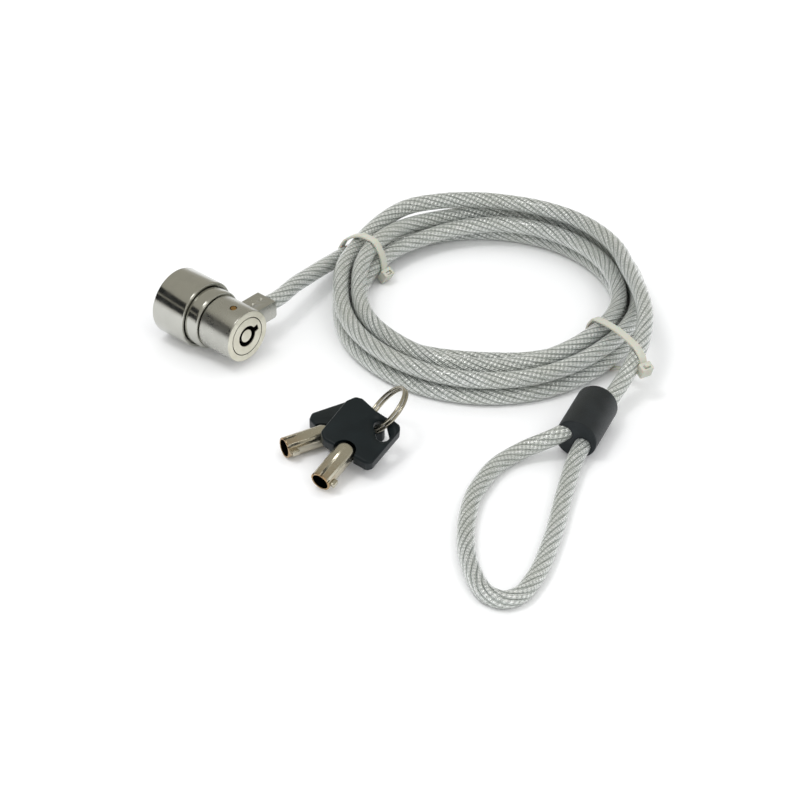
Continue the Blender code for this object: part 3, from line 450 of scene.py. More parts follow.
def coil_point(bearing):
    """The middle of the coiled cable at a bearing, counted on from loop to loop."""
    rise = 0.0
    for place in TIE_ANGLES.values():
        away = abs((bearing - place + 180) % 360 - 180)
        if away < TIE_LIFT_SPREAD:
            rise += cos(pi / 2 * away / TIE_LIFT_SPREAD) ** 2
    radius = hermite(COIL_BEARINGS, COIL_RADII, bearing) * MM
    height = hermite(COIL_BEARINGS, COIL_HEIGHTS, bearing) * MM + rise * (TIE_THICK + SEAT)
    angle = radians(COIL_ZERO_BEARING - bearing)
    return Vector((COIL_CENTRE[0] + radius * cos(angle), COIL_CENTRE[1] + radius * sin(angle),
                   TABLE_Z + height))


def sleeve_point(along, across=0.0, tilt=0.0):
    """A point in the sleeve: along its axis from the far end, and across it to the right.

    The tilt turns that way to the right downwards about the axis.
    """
    heading, tilt = radians(SLEEVE_HEADING), radians(tilt)
    return (Vector((*SLEEVE_FAR, TABLE_Z + SLEEVE_R))
            + Vector((cos(heading), sin(heading), 0)) * along
            + Vector((-sin(heading) * cos(tilt), cos(heading) * cos(tilt), -sin(tilt))) * across)


def cable_paths():
    """The middle of the cable from the lug to the sleeve, and of its eye."""
    def mm_points(rows):
        return [Vector(row) * MM for row in rows]

    steps = (360 * COIL_LOOPS + COIL_EXTRA) // COIL_STEP
    coil = [coil_point(COIL_START + COIL_STEP * k) for k in range(steps + 1)]
    straight = 2 * CABLE_R
    into, out = (coil[1] - coil[0]).normalized(), (coil[-1] - coil[-2]).normalized()
    start = Vector((LUG_X, LUG_REACH + SEAT, 0))
    lead = smooth_path([start, start + Vector((0, straight, 0))] + mm_points(LEAD_ROUTE)
                       + [coil[0] - into * (SEAT + straight), coil[0] - into * SEAT], 9 * MM)
    tail_end = sleeve_point(CRIMP_START - SEAT, LEG_OFFSET)
    tail = smooth_path([coil[-1] + out * SEAT, coil[-1] + out * (SEAT + straight)]
                       + mm_points(TAIL_ROUTE)
                       + [sleeve_point(CRIMP_START - SEAT - straight, LEG_OFFSET), tail_end],
                       8 * MM)
    leg = CRIMP_START + CRIMP_LENGTH + SEAT
    eye = smooth_path([sleeve_point(leg, -LEG_OFFSET, LEG_TILT),
                       sleeve_point(leg + straight, -LEG_OFFSET, LEG_TILT)]
                      + mm_points(EYE_ROUTE)
                      + [sleeve_point(leg + straight, LEG_OFFSET, LEG_TILT),
                         sleeve_point(leg, LEG_OFFSET, LEG_TILT)], 5.5 * MM)
    return refined(lead[:-1] + coil + tail[1:]), refined(eye)


# ------------------------------------------------------------------------------ swept pieces
def sweep_tree():
    """Geometry Nodes: a round section drawn along a curve, with its lay kept as a UV map.

    The map holds metres along the curve and turns round it.
    """
    tree = bpy.data.node_groups.get("Drawn round")
    if tree:
        return tree
    tree = bpy.data.node_groups.new("Drawn round", "GeometryNodeTree")
    face = tree.interface
    face.new_socket("Path", in_out="INPUT", socket_type="NodeSocketGeometry")
    for name, kind, value in (("Radius", "NodeSocketFloat", CABLE_R),
                              ("Sides", "NodeSocketInt", 40),
                              ("Finish", "NodeSocketMaterial", None)):
        socket = face.new_socket(name, in_out="INPUT", socket_type=kind)
        if value is not None:
            socket.default_value = value
    face.new_socket("Mesh", in_out="OUTPUT", socket_type="NodeSocketGeometry")
    given = add(tree, "NodeGroupInput")
    along = add(tree, "GeometryNodeSplineParameter")
    path = add(tree, "GeometryNodeCaptureAttribute", {0: given.outputs["Path"]})
    path.capture_items.new("FLOAT", "Along")
    tree.links.new(along.outputs["Length"], path.inputs[1])
    more = add(tree, "ShaderNodeMath", {0: given.outputs["Sides"], 1: 1.0}, operation="ADD")
    section = add(tree, "GeometryNodeCurveArc", {"Resolution": more.outputs[0],
                                                 "Radius": given.outputs["Radius"],
                                                 "Start Angle": 0.0, "Sweep Angle": 2 * pi})
    around = add(tree, "GeometryNodeSplineParameter")
    rim = add(tree, "GeometryNodeCaptureAttribute", {0: section.outputs[0]})
    rim.capture_items.new("FLOAT", "Around")
    tree.links.new(around.outputs["Factor"], rim.inputs[1])
    tube = add(tree, "GeometryNodeCurveToMesh", {0: path.outputs[0], 1: rim.outputs[0]})
    lay = add(tree, "ShaderNodeCombineXYZ", {0: path.outputs[1], 1: rim.outputs[1]})
    kept = add(tree, "GeometryNodeStoreNamedAttribute",
               {"Geometry": tube.outputs[0], "Name": "lay", "Value": lay.outputs[0]},
               data_type="FLOAT2", domain="CORNER")
    merged = add(tree, "GeometryNodeMergeByDistance",
                 {0: kept.outputs[0], "Distance": 2e-6})
    smooth = add(tree, "GeometryNodeSetShadeSmooth", {0: merged.outputs[0]})
    real = add(tree, "GeometryNodeRealizeInstances", {0: smooth.outputs[0]})
    clad = add(tree, "GeometryNodeSetMaterial",
               {0: real.outputs[0], "Material": given.outputs["Finish"]})
    add(tree, "NodeGroupOutput", {0: clad.outputs[0]})
    return tree


def drawn(name, points, radius, sides, mat):
    """A closed round piece along the points, made by the sweep tree."""
    curve = bpy.data.curves.new(name, "CURVE")
    curve.dimensions = "3D"
    spline = curve.splines.new("POLY")
    spline.points.add(len(points) - 1)
    for point, place in zip(spline.points, points):
        point.co = (*place, 1.0)
    obj = bpy.data.objects.new(name, curve)
    bpy.context.scene.collection.objects.link(obj)
    mod = obj.modifiers.new("Drawn round", "NODES")
    mod.node_group = sweep_tree()
    values = {"Radius": radius, "Sides": sides, "Finish": mat}
    for item in mod.node_group.interface.items_tree:
        if item.in_out == "INPUT" and item.name in values:
            mod[item.identifier] = values[item.name]
    obj = freeze(obj)
    bm = bmesh.new()
    bm.from_mesh(obj.data)
    rims = [e for e in bm.edges if e.is_boundary]
    bmesh.ops.holes_fill(bm, edges=rims, sides=0)
    bmesh.ops.recalc_face_normals(bm, faces=bm.faces)
    bm.to_mesh(obj.data)
    bm.free()
    shade(obj.data, 50)
    return obj


# ------------------------------------------------------------------------------ finishes
def wire_rope(s):
    """Galvanised wire rope under a clear vinyl coat.

    The wires show as slanting ridges that glint, with painted highlight on their crowns and
    painted shade in their grooves; the coat over them is smooth and glossy.
    """
    mat, tree, shader = shader_of("Clear-coated galvanised wire rope", Metallic=0.55,
                                  Coat_Weight=0.75, Coat_Roughness=0.09, Coat_IOR=1.5)
    uv = add(tree, "ShaderNodeUVMap", uv_map="lay")
    part = add(tree, "ShaderNodeSeparateXYZ", {0: uv.outputs[0]})
    # One ridge per strand: 9 strands in a lay of 38.5 mm stand 4.3 mm apart along the cable.
    climb = add(tree, "ShaderNodeMath", {0: part.outputs[0], 1: -s.wires / s.lay_length},
                operation="MULTIPLY")
    phase = add(tree, "ShaderNodeMath",
                {0: part.outputs[1], 1: float(s.wires), 2: climb.outputs[0]},
                operation="MULTIPLY_ADD")
    saw = add(tree, "ShaderNodeMath", {0: phase.outputs[0]}, operation="FRACT")
    across = add(tree, "ShaderNodeMath", {0: saw.outputs[0], 1: 2.0, 2: -1.0},
                 operation="MULTIPLY_ADD")
    square = add(tree, "ShaderNodeMath", {0: across.outputs[0], 1: across.outputs[0]},
                 operation="MULTIPLY")
    ridge = add(tree, "ShaderNodeMath", {0: 1.0, 1: square.outputs[0]}, operation="SUBTRACT")
    # Three fine wires across each strand run flatter than it does. The real ones, about
    # 0.2 mm thick, wouldn't show at the photograph's scale, so these are coarser.
    fine_climb = add(tree, "ShaderNodeMath", {0: part.outputs[0], 1: 2 * pi / (8.5 * MM)},
                     operation="MULTIPLY")
    fine_phase = add(tree, "ShaderNodeMath",
                     {0: phase.outputs[0], 1: 2 * pi * 3, 2: fine_climb.outputs[0]},
                     operation="MULTIPLY_ADD")
    fine = add(tree, "ShaderNodeMath", {0: fine_phase.outputs[0]}, operation="SINE")
    place = add(tree, "ShaderNodeTexCoord")
    mottle = add(tree, "ShaderNodeTexNoise", {"Vector": place.outputs["Object"], "Scale": 420.0,
                                              "Detail": 3.0, "Roughness": 0.6})
    broad = add(tree, "ShaderNodeTexNoise", {"Vector": place.outputs["Object"], "Scale": 45.0,
                                             "Detail": 2.0})
    # A second wave over them, every 1.6 mm of cable, breaks them up into beads that glint, from
    # the bump and from painted highlight on their crowns.
    bead_climb = add(tree, "ShaderNodeMath", {0: part.outputs[0], 1: 2 * pi / (1.6 * MM)},
                     operation="MULTIPLY")
    bead_phase = add(tree, "ShaderNodeMath",
                     {0: part.outputs[1], 1: 2 * pi * 7, 2: bead_climb.outputs[0]},
                     operation="MULTIPLY_ADD")
    bead = add(tree, "ShaderNodeMath", {0: bead_phase.outputs[0]}, operation="SINE")
    beads = add(tree, "ShaderNodeMath", {0: bead.outputs[0], 1: fine.outputs[0]},
                operation="MULTIPLY")
    fine = add(tree, "ShaderNodeMath", {0: beads.outputs[0], 1: 0.9, 2: fine.outputs[0]},
               operation="MULTIPLY_ADD")
    # Painted highlight and shade: the tone is lighter on the crowns of the strands and fine wires
    # and darker in the grooves between them; the mottle adds random tone.
    tone = add(tree, "ShaderNodeMath", {0: fine.outputs[0], 1: 0.15, 2: ridge.outputs[0]},
               operation="MULTIPLY_ADD")
    speck = add(tree, "ShaderNodeMath", {0: mottle.outputs[0], 1: 0.5, 2: -0.25},
                operation="MULTIPLY_ADD")
    tone = add(tree, "ShaderNodeMath", {0: tone.outputs[0], 1: speck.outputs[0]},
               operation="ADD")
    # The ramp paints the groove colour as painted shade and the crown colour as painted highlight.
    ramp = add(tree, "ShaderNodeValToRGB", {0: tone.outputs[0]})
    ramp.color_ramp.elements[0].color = rgba(s.groove_shade)
    ramp.color_ramp.elements[0].position = 0.08
    ramp.color_ramp.elements[1].color = rgba(s.crown)
    ramp.color_ramp.elements[1].position = 0.92
    middle = ramp.color_ramp.elements.new(0.5)
    middle.color = rgba(s.flank)
    # The coat yellows and clouds a little here and there.
    cloud = add(tree, "ShaderNodeMapRange", {0: broad.outputs[0], 1: 0.3, 2: 0.7, 3: 0.0,
                                             4: 0.35})
    tint = add(tree, "ShaderNodeMix", {0: cloud.outputs[0], 6: ramp.outputs[0],
                                       7: rgba(linear("#c9ccbe"))}, data_type="RGBA")
    # Painted glints: lengths of about 3 mm of single wires, a quarter of a strand wide, are
    # painted white on the ridges.
    onward = add(tree, "ShaderNodeMath", {0: part.outputs[0], 1: 330.0}, operation="MULTIPLY")
    beside = add(tree, "ShaderNodeMath", {0: phase.outputs[0], 1: 4.0}, operation="MULTIPLY")
    streak_way = add(tree, "ShaderNodeCombineXYZ", {0: onward.outputs[0],
                                                    1: beside.outputs[0]})
    streak = add(tree, "ShaderNodeTexNoise", {"Vector": streak_way.outputs[0], "Scale": 1.0,
                                              "Detail": 2.0})
    painted_glint = add(tree, "ShaderNodeMapRange", {0: streak.outputs[0], 1: 0.54, 2: 0.66, 3: 0.0,
                                             4: 0.85})
    painted_glint = add(tree, "ShaderNodeMath", {0: painted_glint.outputs[0], 1: ridge.outputs[0]},
                operation="MULTIPLY")
    tint = add(tree, "ShaderNodeMix", {0: painted_glint.outputs[0], 6: tint.outputs[2],
                                       7: (1, 1, 1, 1)}, data_type="RGBA")
    rough = add(tree, "ShaderNodeMapRange", {0: ridge.outputs[0], 1: 0.0, 2: 1.0, 3: 0.55,
                                             4: 0.27})
    height = add(tree, "ShaderNodeMath", {0: fine.outputs[0], 1: 0.4, 2: ridge.outputs[0]},
                 operation="MULTIPLY_ADD")
    finish(tree, shader, tint, rough, height, 1.0, 0.3 * MM)
    return mat


def nylon(s):
    """Natural nylon 6.6, moulded: milky, slightly warm, light goes into it."""
    mat, tree, shader = shader_of("Natural moulded nylon", Subsurface_Weight=0.35,
                                  Subsurface_Scale=0.001, Roughness=0.34, IOR=1.53)
    place = add(tree, "ShaderNodeTexCoord")
    cloud = add(tree, "ShaderNodeTexNoise", {"Vector": place.outputs["Object"], "Scale": 260.0,
                                             "Detail": 3.0})
    tint = add(tree, "ShaderNodeMix", {0: cloud.outputs[0], 6: rgba(s.tie),
                                       7: rgba(linear("#c6c7b4"))}, data_type="RGBA")
    finish(tree, shader, tint, None, cloud, 0.3, 0.1 * MM)
    return mat


def black_plastic(name, colour_value, grain, roughness, dusty, shine):
    """Black moulded plastic with a spark-eroded grain, paler where fingers have dulled it.

    The grain is in metres; shine is the specular level, 0.5 for a bare polymer.
    """
    mat, tree, shader = shader_of(name, IOR=1.5, Specular_IOR_Level=shine)
    place = add(tree, "ShaderNodeTexCoord")
    grit = add(tree, "ShaderNodeTexNoise", {"Vector": place.outputs["Object"],
                                            "Scale": 1 / grain, "Detail": 4.0,
                                            "Roughness": 0.65})
    handled = add(tree, "ShaderNodeTexNoise", {"Vector": place.outputs["Object"], "Scale": 160.0,
                                               "Detail": 4.0})
    amount = add(tree, "ShaderNodeMapRange", {0: handled.outputs[0], 1: 0.4, 2: 0.75, 3: 0.0,
                                              4: 0.6})
    tint = add(tree, "ShaderNodeMix", {0: amount.outputs[0], 6: rgba(colour_value),
                                       7: rgba(linear(dusty))}, data_type="RGBA")
    rough = add(tree, "ShaderNodeMapRange", {0: grit.outputs[0], 1: 0.3, 2: 0.7,
                                             3: roughness - 0.07, 4: roughness + 0.1})
    finish(tree, shader, tint, rough, grit, 0.45, grain * 0.2)
    return mat


def plated(name, colour_value, roughness):
    """Bright plate on a turned metal piece: faint turning lines round the X axis and haze.

    The lines stand 0.4 mm apart, coarser than the tool's feed, so that they show.
    """
    mat, tree, shader = shader_of(name, Metallic=1.0)
    place = add(tree, "ShaderNodeTexCoord")
    stretch = add(tree, "ShaderNodeMapping", {"Vector": place.outputs["Object"],
                                              "Scale": (1 / (0.4 * MM), 60.0, 60.0)})
    turning = add(tree, "ShaderNodeTexNoise", {"Vector": stretch.outputs[0], "Scale": 1.0,
                                               "Detail": 3.0})
    haze = add(tree, "ShaderNodeTexNoise", {"Vector": place.outputs["Object"], "Scale": 210.0,
                                            "Detail": 5.0})
    tint = add(tree, "ShaderNodeMix", {0: haze.outputs[0], 6: rgba(colour_value),
                                       7: rgba([c * 0.82 for c in colour_value])},
               data_type="RGBA")
    rough = add(tree, "ShaderNodeMapRange", {0: haze.outputs[0], 1: 0.3, 2: 0.75,
                                             3: roughness, 4: roughness + 0.09})
    finish(tree, shader, tint, rough, turning, 0.12, 0.03 * MM)
    return mat


def machined_face(s):
    """Nickel-plated brass, faced in a lathe: fine rings round the axis, warm and pale."""
    mat, tree, shader = shader_of("Faced and plated brass", Metallic=0.85)
    place = add(tree, "ShaderNodeTexCoord")
    part = add(tree, "ShaderNodeSeparateXYZ", {0: place.outputs["Object"]})
    flat = add(tree, "ShaderNodeCombineXYZ", {1: part.outputs[1], 2: part.outputs[2]})
    reach = add(tree, "ShaderNodeVectorMath", {0: flat.outputs[0]}, operation="LENGTH")
    # Tool marks 0.25 mm apart, coarser than a real facing cut so that they show.
    rings = add(tree, "ShaderNodeMath", {0: reach.outputs["Value"], 1: 2 * pi / (0.25 * MM)},
                operation="MULTIPLY")
    wave = add(tree, "ShaderNodeMath", {0: rings.outputs[0]}, operation="SINE")
    haze = add(tree, "ShaderNodeTexNoise", {"Vector": place.outputs["Object"], "Scale": 330.0,
                                            "Detail": 4.0})
    tint = add(tree, "ShaderNodeMix", {0: haze.outputs[0], 6: rgba(s.face),
                                       7: rgba(linear("#c9c6b4"))}, data_type="RGBA")
    # Painted shade: the keyway below the face is painted near black.
    below = add(tree, "ShaderNodeMath", {0: part.outputs[0], 1: FACE_X - 0.36 * MM},
                operation="LESS_THAN")
    within = add(tree, "ShaderNodeMath", {0: reach.outputs["Value"], 1: 5.4 * MM},
                 operation="LESS_THAN")
    keyway_shade = add(tree, "ShaderNodeMath", {0: below.outputs[0], 1: within.outputs[0]},
                 operation="MULTIPLY")
    tint = add(tree, "ShaderNodeMix", {0: keyway_shade.outputs[0], 6: tint.outputs[2],
                                       7: rgba(linear("#15130f"))}, data_type="RGBA")
    rough = add(tree, "ShaderNodeMapRange", {0: haze.outputs[0], 1: 0.3, 2: 0.7, 3: 0.28,
                                             4: 0.42})
    finish(tree, shader, tint, rough, wave, 0.25, 0.03 * MM)
    return mat


def plain_metal(name, colour_value, roughness):
    """Bare drawn or turned metal: cloudy tone and a fine random grain."""
    mat, tree, shader = shader_of(name, Metallic=1.0)
    place = add(tree, "ShaderNodeTexCoord")
    haze = add(tree, "ShaderNodeTexNoise", {"Vector": place.outputs["Object"], "Scale": 500.0,
                                            "Detail": 5.0})
    tint = add(tree, "ShaderNodeMix", {0: haze.outputs[0], 6: rgba(colour_value),
                                       7: rgba([c * 0.7 for c in colour_value])},
               data_type="RGBA")
    rough = add(tree, "ShaderNodeMapRange", {0: haze.outputs[0], 1: 0.3, 2: 0.7, 3: roughness,
                                             4: roughness + 0.15})
    finish(tree, shader, tint, rough, haze, 0.2, 0.04 * MM)
    return mat


def key_nickel(s):
    """Nickel plate on drawn brass tube: warm and bright, browner where the plate has worn."""
    mat, tree, shader = shader_of("Nickel-plated brass tube", Metallic=1.0)
    place = add(tree, "ShaderNodeTexCoord")
    wear = add(tree, "ShaderNodeAttribute", attribute_name="wear")
    haze = add(tree, "ShaderNodeTexNoise", {"Vector": place.outputs["Object"], "Scale": 650.0,
                                            "Detail": 5.0, "Roughness": 0.6})
    rubbed = add(tree, "ShaderNodeMath", {0: haze.outputs[0], 1: 1.6, 2: -0.9},
                 operation="MULTIPLY_ADD")
    edge = add(tree, "ShaderNodeMath", {0: wear.outputs["Fac"], 1: rubbed.outputs[0]},
               operation="ADD", use_clamp=True)
    shown = add(tree, "ShaderNodeMath", {0: edge.outputs[0], 1: wear.outputs["Fac"]},
                operation="MULTIPLY", use_clamp=True)
    tint = add(tree, "ShaderNodeMix", {0: shown.outputs[0], 6: rgba(s.nickel),
                                       7: rgba(s.worn)}, data_type="RGBA")
    # Painted shade: the bore is painted near black.
    bore = add(tree, "ShaderNodeAttribute", attribute_name="bore")
    tint = add(tree, "ShaderNodeMix", {0: bore.outputs["Fac"], 6: tint.outputs[2],
                                       7: rgba(linear("#1b1610"))}, data_type="RGBA")
    rough = add(tree, "ShaderNodeMapRange", {0: haze.outputs[0], 1: 0.3, 2: 0.7, 3: 0.16,
                                             4: 0.3})
    finish(tree, shader, tint, rough, haze, 0.15, 0.04 * MM)
    return mat


# ------------------------------------------------------------------------------ operators
class LOCK_OT_cable(bpy.types.Operator):
    """Make the coated cable: its run from the lug through the coil to the sleeve, and its eye"""
    bl_idname = "cablelock.cable"
    bl_label = "Cable"

    def execute(self, context):
        s = context.scene.lock_rope
        rope = wire_rope(s)
        whole, eye_path = cable_paths()
        cable = drawn("cable", whole, CABLE_R, s.sides, rope)
        done(cable, "cord_side", "coated_wire_rope", "cable_lead", "cable_coil", "cable_tail")
        eye = drawn("end_eye", eye_path, CABLE_R, s.sides, rope)
        done(eye, "cord_side", "coated_wire_rope", "cable_eye")
        return {"FINISHED"}


class LOCK_OT_sleeve(bpy.types.Operator):
    """Make the black sleeve that covers the eye's crimp"""
    bl_idname = "cablelock.sleeve"
    bl_label = "Sleeve"

    def execute(self, context):
        s = context.scene.lock_rope
        vinyl = black_plastic("Soft black vinyl sleeve", s.sleeve, 0.4 * MM, 0.46,
                              "#262c30", 0.36)
        outline = [(0, 0), (0, SLEEVE_R), (SLEEVE_LENGTH, SLEEVE_R), (SLEEVE_LENGTH, 0)]
        profile = fillet(outline, [0, 0.7 * MM, 0.45 * MM, 0], 5)
        sleeve = turned("end_sleeve", profile, vinyl, 96)
        place = Matrix.Translation(sleeve_point(0)) @ Matrix.Rotation(
            radians(SLEEVE_HEADING), 4, "Z")
        sleeve.data.transform(place)
        half = CABLE_R + SEAT
        wide = LEG_OFFSET + half
        pocket = prism("pocket", fillet([(-wide, -half), (wide, -half), (wide, half),
                                         (-wide, half)], half - 0.01 * MM, 8), 0,
                       CRIMP_START - SEAT, CRIMP_START + CRIMP_LENGTH + SEAT)
        pocket.data.transform(place)
        cutters = [pocket, bar("tail_way", sleeve_point(-1 * MM, LEG_OFFSET),
                               sleeve_point(CRIMP_START, LEG_OFFSET), CABLE_R + 0.12 * MM, 40)]
        eye = cable_paths()[1]
        # Each leg of the eye needs a way along its first points, well past the sleeve's mouth.
        reach = 26
        for k, leg in enumerate((eye[:reach], eye[:-reach - 1:-1])):
            inward = (leg[0] - leg[1]).normalized()
            cutters.append(drawn("eye_way_%d" % k, [leg[0] + inward * 2 * SEAT] + leg[1:],
                                 CABLE_R + 0.15 * MM, 40, vinyl))
        sleeve = carve(sleeve, cutters)
        shade(sleeve.data, 35)
        done(sleeve, "cord_side", "black_plastic", "sleeve")
        return {"FINISHED"}


def convex(points):
    """Convex outline of 2-D points, counter-clockwise."""
    points = sorted(set(points))

    def chain(rows):
        out = []
        for p in rows:
            while len(out) > 1 and ((out[-1][0] - out[-2][0]) * (p[1] - out[-2][1])
                                    - (out[-1][1] - out[-2][1]) * (p[0] - out[-2][0])) <= 0:
                out.pop()
            out.append(p)
        return out[:-1]
    return chain(points) + chain(points[::-1])


def grown(loop, amount):
    """A convex counter-clockwise outline, offset outwards."""
    out = []
    for k, p in enumerate(loop):
        a, b = loop[k - 1], loop[(k + 1) % len(loop)]
        n1 = Vector((p[1] - a[1], a[0] - p[0])).normalized()
        n2 = Vector((b[1] - p[1], p[0] - b[0])).normalized()
        push = (n1 + n2) / (1 + n1.dot(n2)) * amount
        out.append((p[0] + push.x, p[1] + push.y))
    return out


def arched(loop, rise):
    """The outline with its long upper spans bowed outwards, as stiff nylon bows."""
    points = list(loop)
    for a, b in zip(loop, loop[1:] + loop[:1]):
        span = hypot(b[0] - a[0], b[1] - a[1])
        if span < 4 * MM or b[0] > a[0]:
            continue
        out = ((b[1] - a[1]) / span, (a[0] - b[0]) / span)
        for k in range(1, 8):
            t = k / 8
            bow = rise * 4 * t * (1 - t) * min(1, span / (12 * MM))
            points.append(tuple(a[i] + (b[i] - a[i]) * t + out[i] * bow for i in (0, 1)))
    return convex(points)


def tie_outline(centre, out, along):
    """The tie's section round the loops: a taut outline, bowed between them, as (out, up)."""
    steps, hug = 24, CABLE_R + 0.1 * MM
    rim = set()
    whole = cable_paths()[0]
    for a, b in zip(whole, whole[1:]):
        for k in range(3):
            p = a.lerp(b, k / 3) - centre
            if abs(p.dot(along)) < TIE_WIDTH / 2 and p.dot(out) > 0:
                rim |= {(round(p.dot(out) + hug * cos(pi * i / steps), 6),
                         round(p.z + hug * sin(pi * i / steps), 6)) for i in range(2 * steps)}
    loop = arched(convex(list(rim)), TIE_BOW)
    thin = [loop[0]]
    for p in loop[1:]:
        if hypot(p[0] - thin[-1][0], p[1] - thin[-1][1]) > 0.25 * MM:
            thin.append(p)
    return thin


def tie_band(name, outline, place_of, mat):
    """The tie's band: a strip with rounded edges, swept round the outline."""
    half, count = TIE_WIDTH / 2, len(outline)
    section = fillet([(0, -half), (TIE_THICK, -half), (TIE_THICK, half), (0, half)],
                     0.3 * MM, 3)
    bm = bmesh.new()
    rings = [[bm.verts.new(place_of(u, v, shift)) for u, v in grown(outline, raised)]
             for raised, shift in section]
    for ring, after in zip(rings, rings[1:] + rings[:1]):
        for k in range(count):
            bm.faces.new((ring[k], ring[(k + 1) % count], after[(k + 1) % count], after[k]))
    return mesh_piece(name + "_band", bm, mat, 45)


def tie_box(name, place, mat):
    """The tie's ratchet box and the cut end of the strip that stands in it."""
    wide, deep, tall = TIE_HEAD
    half = TIE_WIDTH / 2
    box = block(name + "_box", (-TIE_THICK * 0.5, -wide / 2, -tall / 2),
                (deep, wide / 2, tall / 2), mat)
    slot = block(name + "_slot", (0.9 * MM, -half + 0.2 * MM, -tall),
                 (2.2 * MM, half - 0.2 * MM, tall))
    box = carve(soften(box, 0.45 * MM, 3, 30), [slot])
    strip = block(name + "_strip", (1.0 * MM, -half + 0.35 * MM, -tall * 0.42),
                  (1.95 * MM, half - 0.35 * MM, tall / 2 + 0.9 * MM), mat)
    strip = soften(strip, 0.2 * MM, 2, 30)
    for obj in (box, strip):
        obj.data.transform(place)
    return box, strip


class LOCK_OT_ties(bpy.types.Operator):
    """Make the two nylon ties that hold the coil: band, ratchet box and cut tail"""
    bl_idname = "cablelock.ties"
    bl_label = "Ties"

    def execute(self, context):
        milky = nylon(context.scene.lock_rope)
        for name, bearing in TIE_ANGLES.items():
            angle = radians(COIL_ZERO_BEARING - bearing)
            pivot = Vector((*COIL_CENTRE, 0)) + Vector((cos(angle), sin(angle), 0)) * TIE_PIVOT_R
            angle += radians(TIE_SKEWS[name])
            out = Vector((cos(angle), sin(angle), 0))
            along = Vector((-sin(angle), cos(angle), 0))
            centre = pivot - out * TIE_PIVOT_R
            outline = tie_outline(centre, out, along)
            band = tie_band(name, outline, lambda u, v, shift: centre + out * u
                            + Vector((0, 0, v)) + along * shift, milky)
            # The ratchet box sits on the band, square to the side that it faces.
            side = radians(TIE_HEAD_SIDES[name])
            outer = [(u, v, u * cos(side) + v * sin(side)) for u, v in grown(outline, TIE_THICK)]
            reach = max(far for u, v, far in outer)
            near = [(u, v) for u, v, far in outer if far > reach - 0.3 * MM]
            u, v = (sum(p[i] for p in near) / len(near) for i in (0, 1))
            place = (Matrix.Translation(centre + out * u + Vector((0, 0, v)))
                     @ Matrix.Rotation(angle, 4, "Z") @ Matrix.Rotation(-side, 4, "Y"))
            bm = bmesh.new()
            for obj in (band, *tie_box(name, place, milky)):
                bm.from_mesh(obj.data)
                bpy.data.objects.remove(obj)
            tie = mesh_piece("nylon_" + name, bm, milky, 40)
            done(tie, "cord_side", "natural_nylon", name)
        return {"FINISHED"}


def front_collar(facets, edge, mat):
    """The drum round the T-bar's end: a mouth for the washer and a seat for the step ring."""
    low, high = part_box("front_collar")
    far, end = low.x, high.x
    seat_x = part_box("step_ring")[0].x - SEAT
    bore = CORE_R + SEAT
    outline = [(far, WASHER_R + SEAT), (NOSE_X, WASHER_R + SEAT), (NOSE_X, NOSE_R + SEAT),
               (CORE_X, NOSE_R + SEAT), (CORE_X, bore), (seat_x, bore), (seat_x, STEP_R + SEAT),
               (end, STEP_R + SEAT), (end, COLLAR_R), (far, COLLAR_R)]
    radii = [0.15 * MM, 0, 0, 0, 0, 0, 0, 0.2 * MM, edge, 0.8 * MM]
    return turned("collar", fillet(outline, radii, 5), mat, facets)


def lug_profile():
    """The cable lug's section: a flat-topped tongue that flares into the round shell."""
    root_z = LUG_HALF_Z + LUG_FILLET
    root_y = sqrt((SHELL_R + LUG_FILLET) ** 2 - root_z ** 2)
    turn, corner = atan2(root_z, root_y), 0.7 * MM
    upper = [(LUG_REACH - corner, LUG_HALF_Z)]
    for k in range(13):
        angle = -pi / 2 - (pi / 2 - turn) * k / 12
        upper.append((root_y + LUG_FILLET * cos(angle), root_z + LUG_FILLET * sin(angle)))
    upper.append((upper[-1][0] * 0.9, upper[-1][1] * 0.9))
    tip = [(LUG_REACH, -LUG_HALF_Z + corner), (LUG_REACH, LUG_HALF_Z - corner)]
    return tip + upper + [(y, -z) for y, z in reversed(upper)]


def swivel_shell(facets, satin, faced):
    """The round shell with the cable's lug, its two dents and the way for the brass pin."""
    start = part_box("swivel_shell")[0].x
    outline = [(start, 0), (start, SHELL_R), (FACE_X, SHELL_R), (FACE_X, 0)]
    shell = turned("shell", fillet(outline, [0, 0.4 * MM, 0.4 * MM, 0], 4), satin, facets)
    lug = prism("lug", lug_profile(), 0, LUG_X - LUG_LENGTH / 2, LUG_X + LUG_LENGTH / 2, satin)
    shell = carve(shell, [soften(lug, 0.5 * MM, 3, 25)], "UNION")
    cutters = [bar("swivel_bore", (start - MM, 0, 0), (FACE_X + MM, 0, 0), CORE_R + SEAT, facets),
               bar("ferrule_bore", (LUG_X, LUG_REACH - FERRULE_LENGTH - SEAT, 0),
                   (LUG_X, LUG_REACH + MM, 0), FERRULE_R + SEAT, 40)]
    for k, y in enumerate(DENT_Y):
        dent = turned("dent_%d" % k, [(0, 0), (0, DENT_R * 0.55), (DENT_DEPTH, DENT_R),
                                      (DENT_DEPTH + MM, DENT_R), (DENT_DEPTH + MM, 0)],
                      None, 32)
        dent.data.transform(Matrix.Translation((LUG_X, y, LUG_HALF_Z - DENT_DEPTH))
                            @ Matrix.Rotation(-pi / 2, 4, "Y"))
        cutters.append(dent)
    angle = radians(BRASS_PIN_ANGLE)
    out, middle = Vector((0, cos(angle), sin(angle))), Vector((BRASS_PIN_X, 0, 0))
    cutters.append(bar("pin_bore", middle + out * CORE_R * 0.9, middle + out * (SHELL_R + MM),
                       BRASS_PIN_R + 0.15 * MM, 32))
    shell = carve(shell, cutters)
    shade(shell.data, 32)
    # The flat rim round the core is faced in the lathe with it.
    shell.data.materials.append(faced)
    for face in shell.data.polygons:
        if face.normal.x > 0.95 and face.center.x > FACE_X - 0.05 * MM:
            face.material_index = 1
    return shell


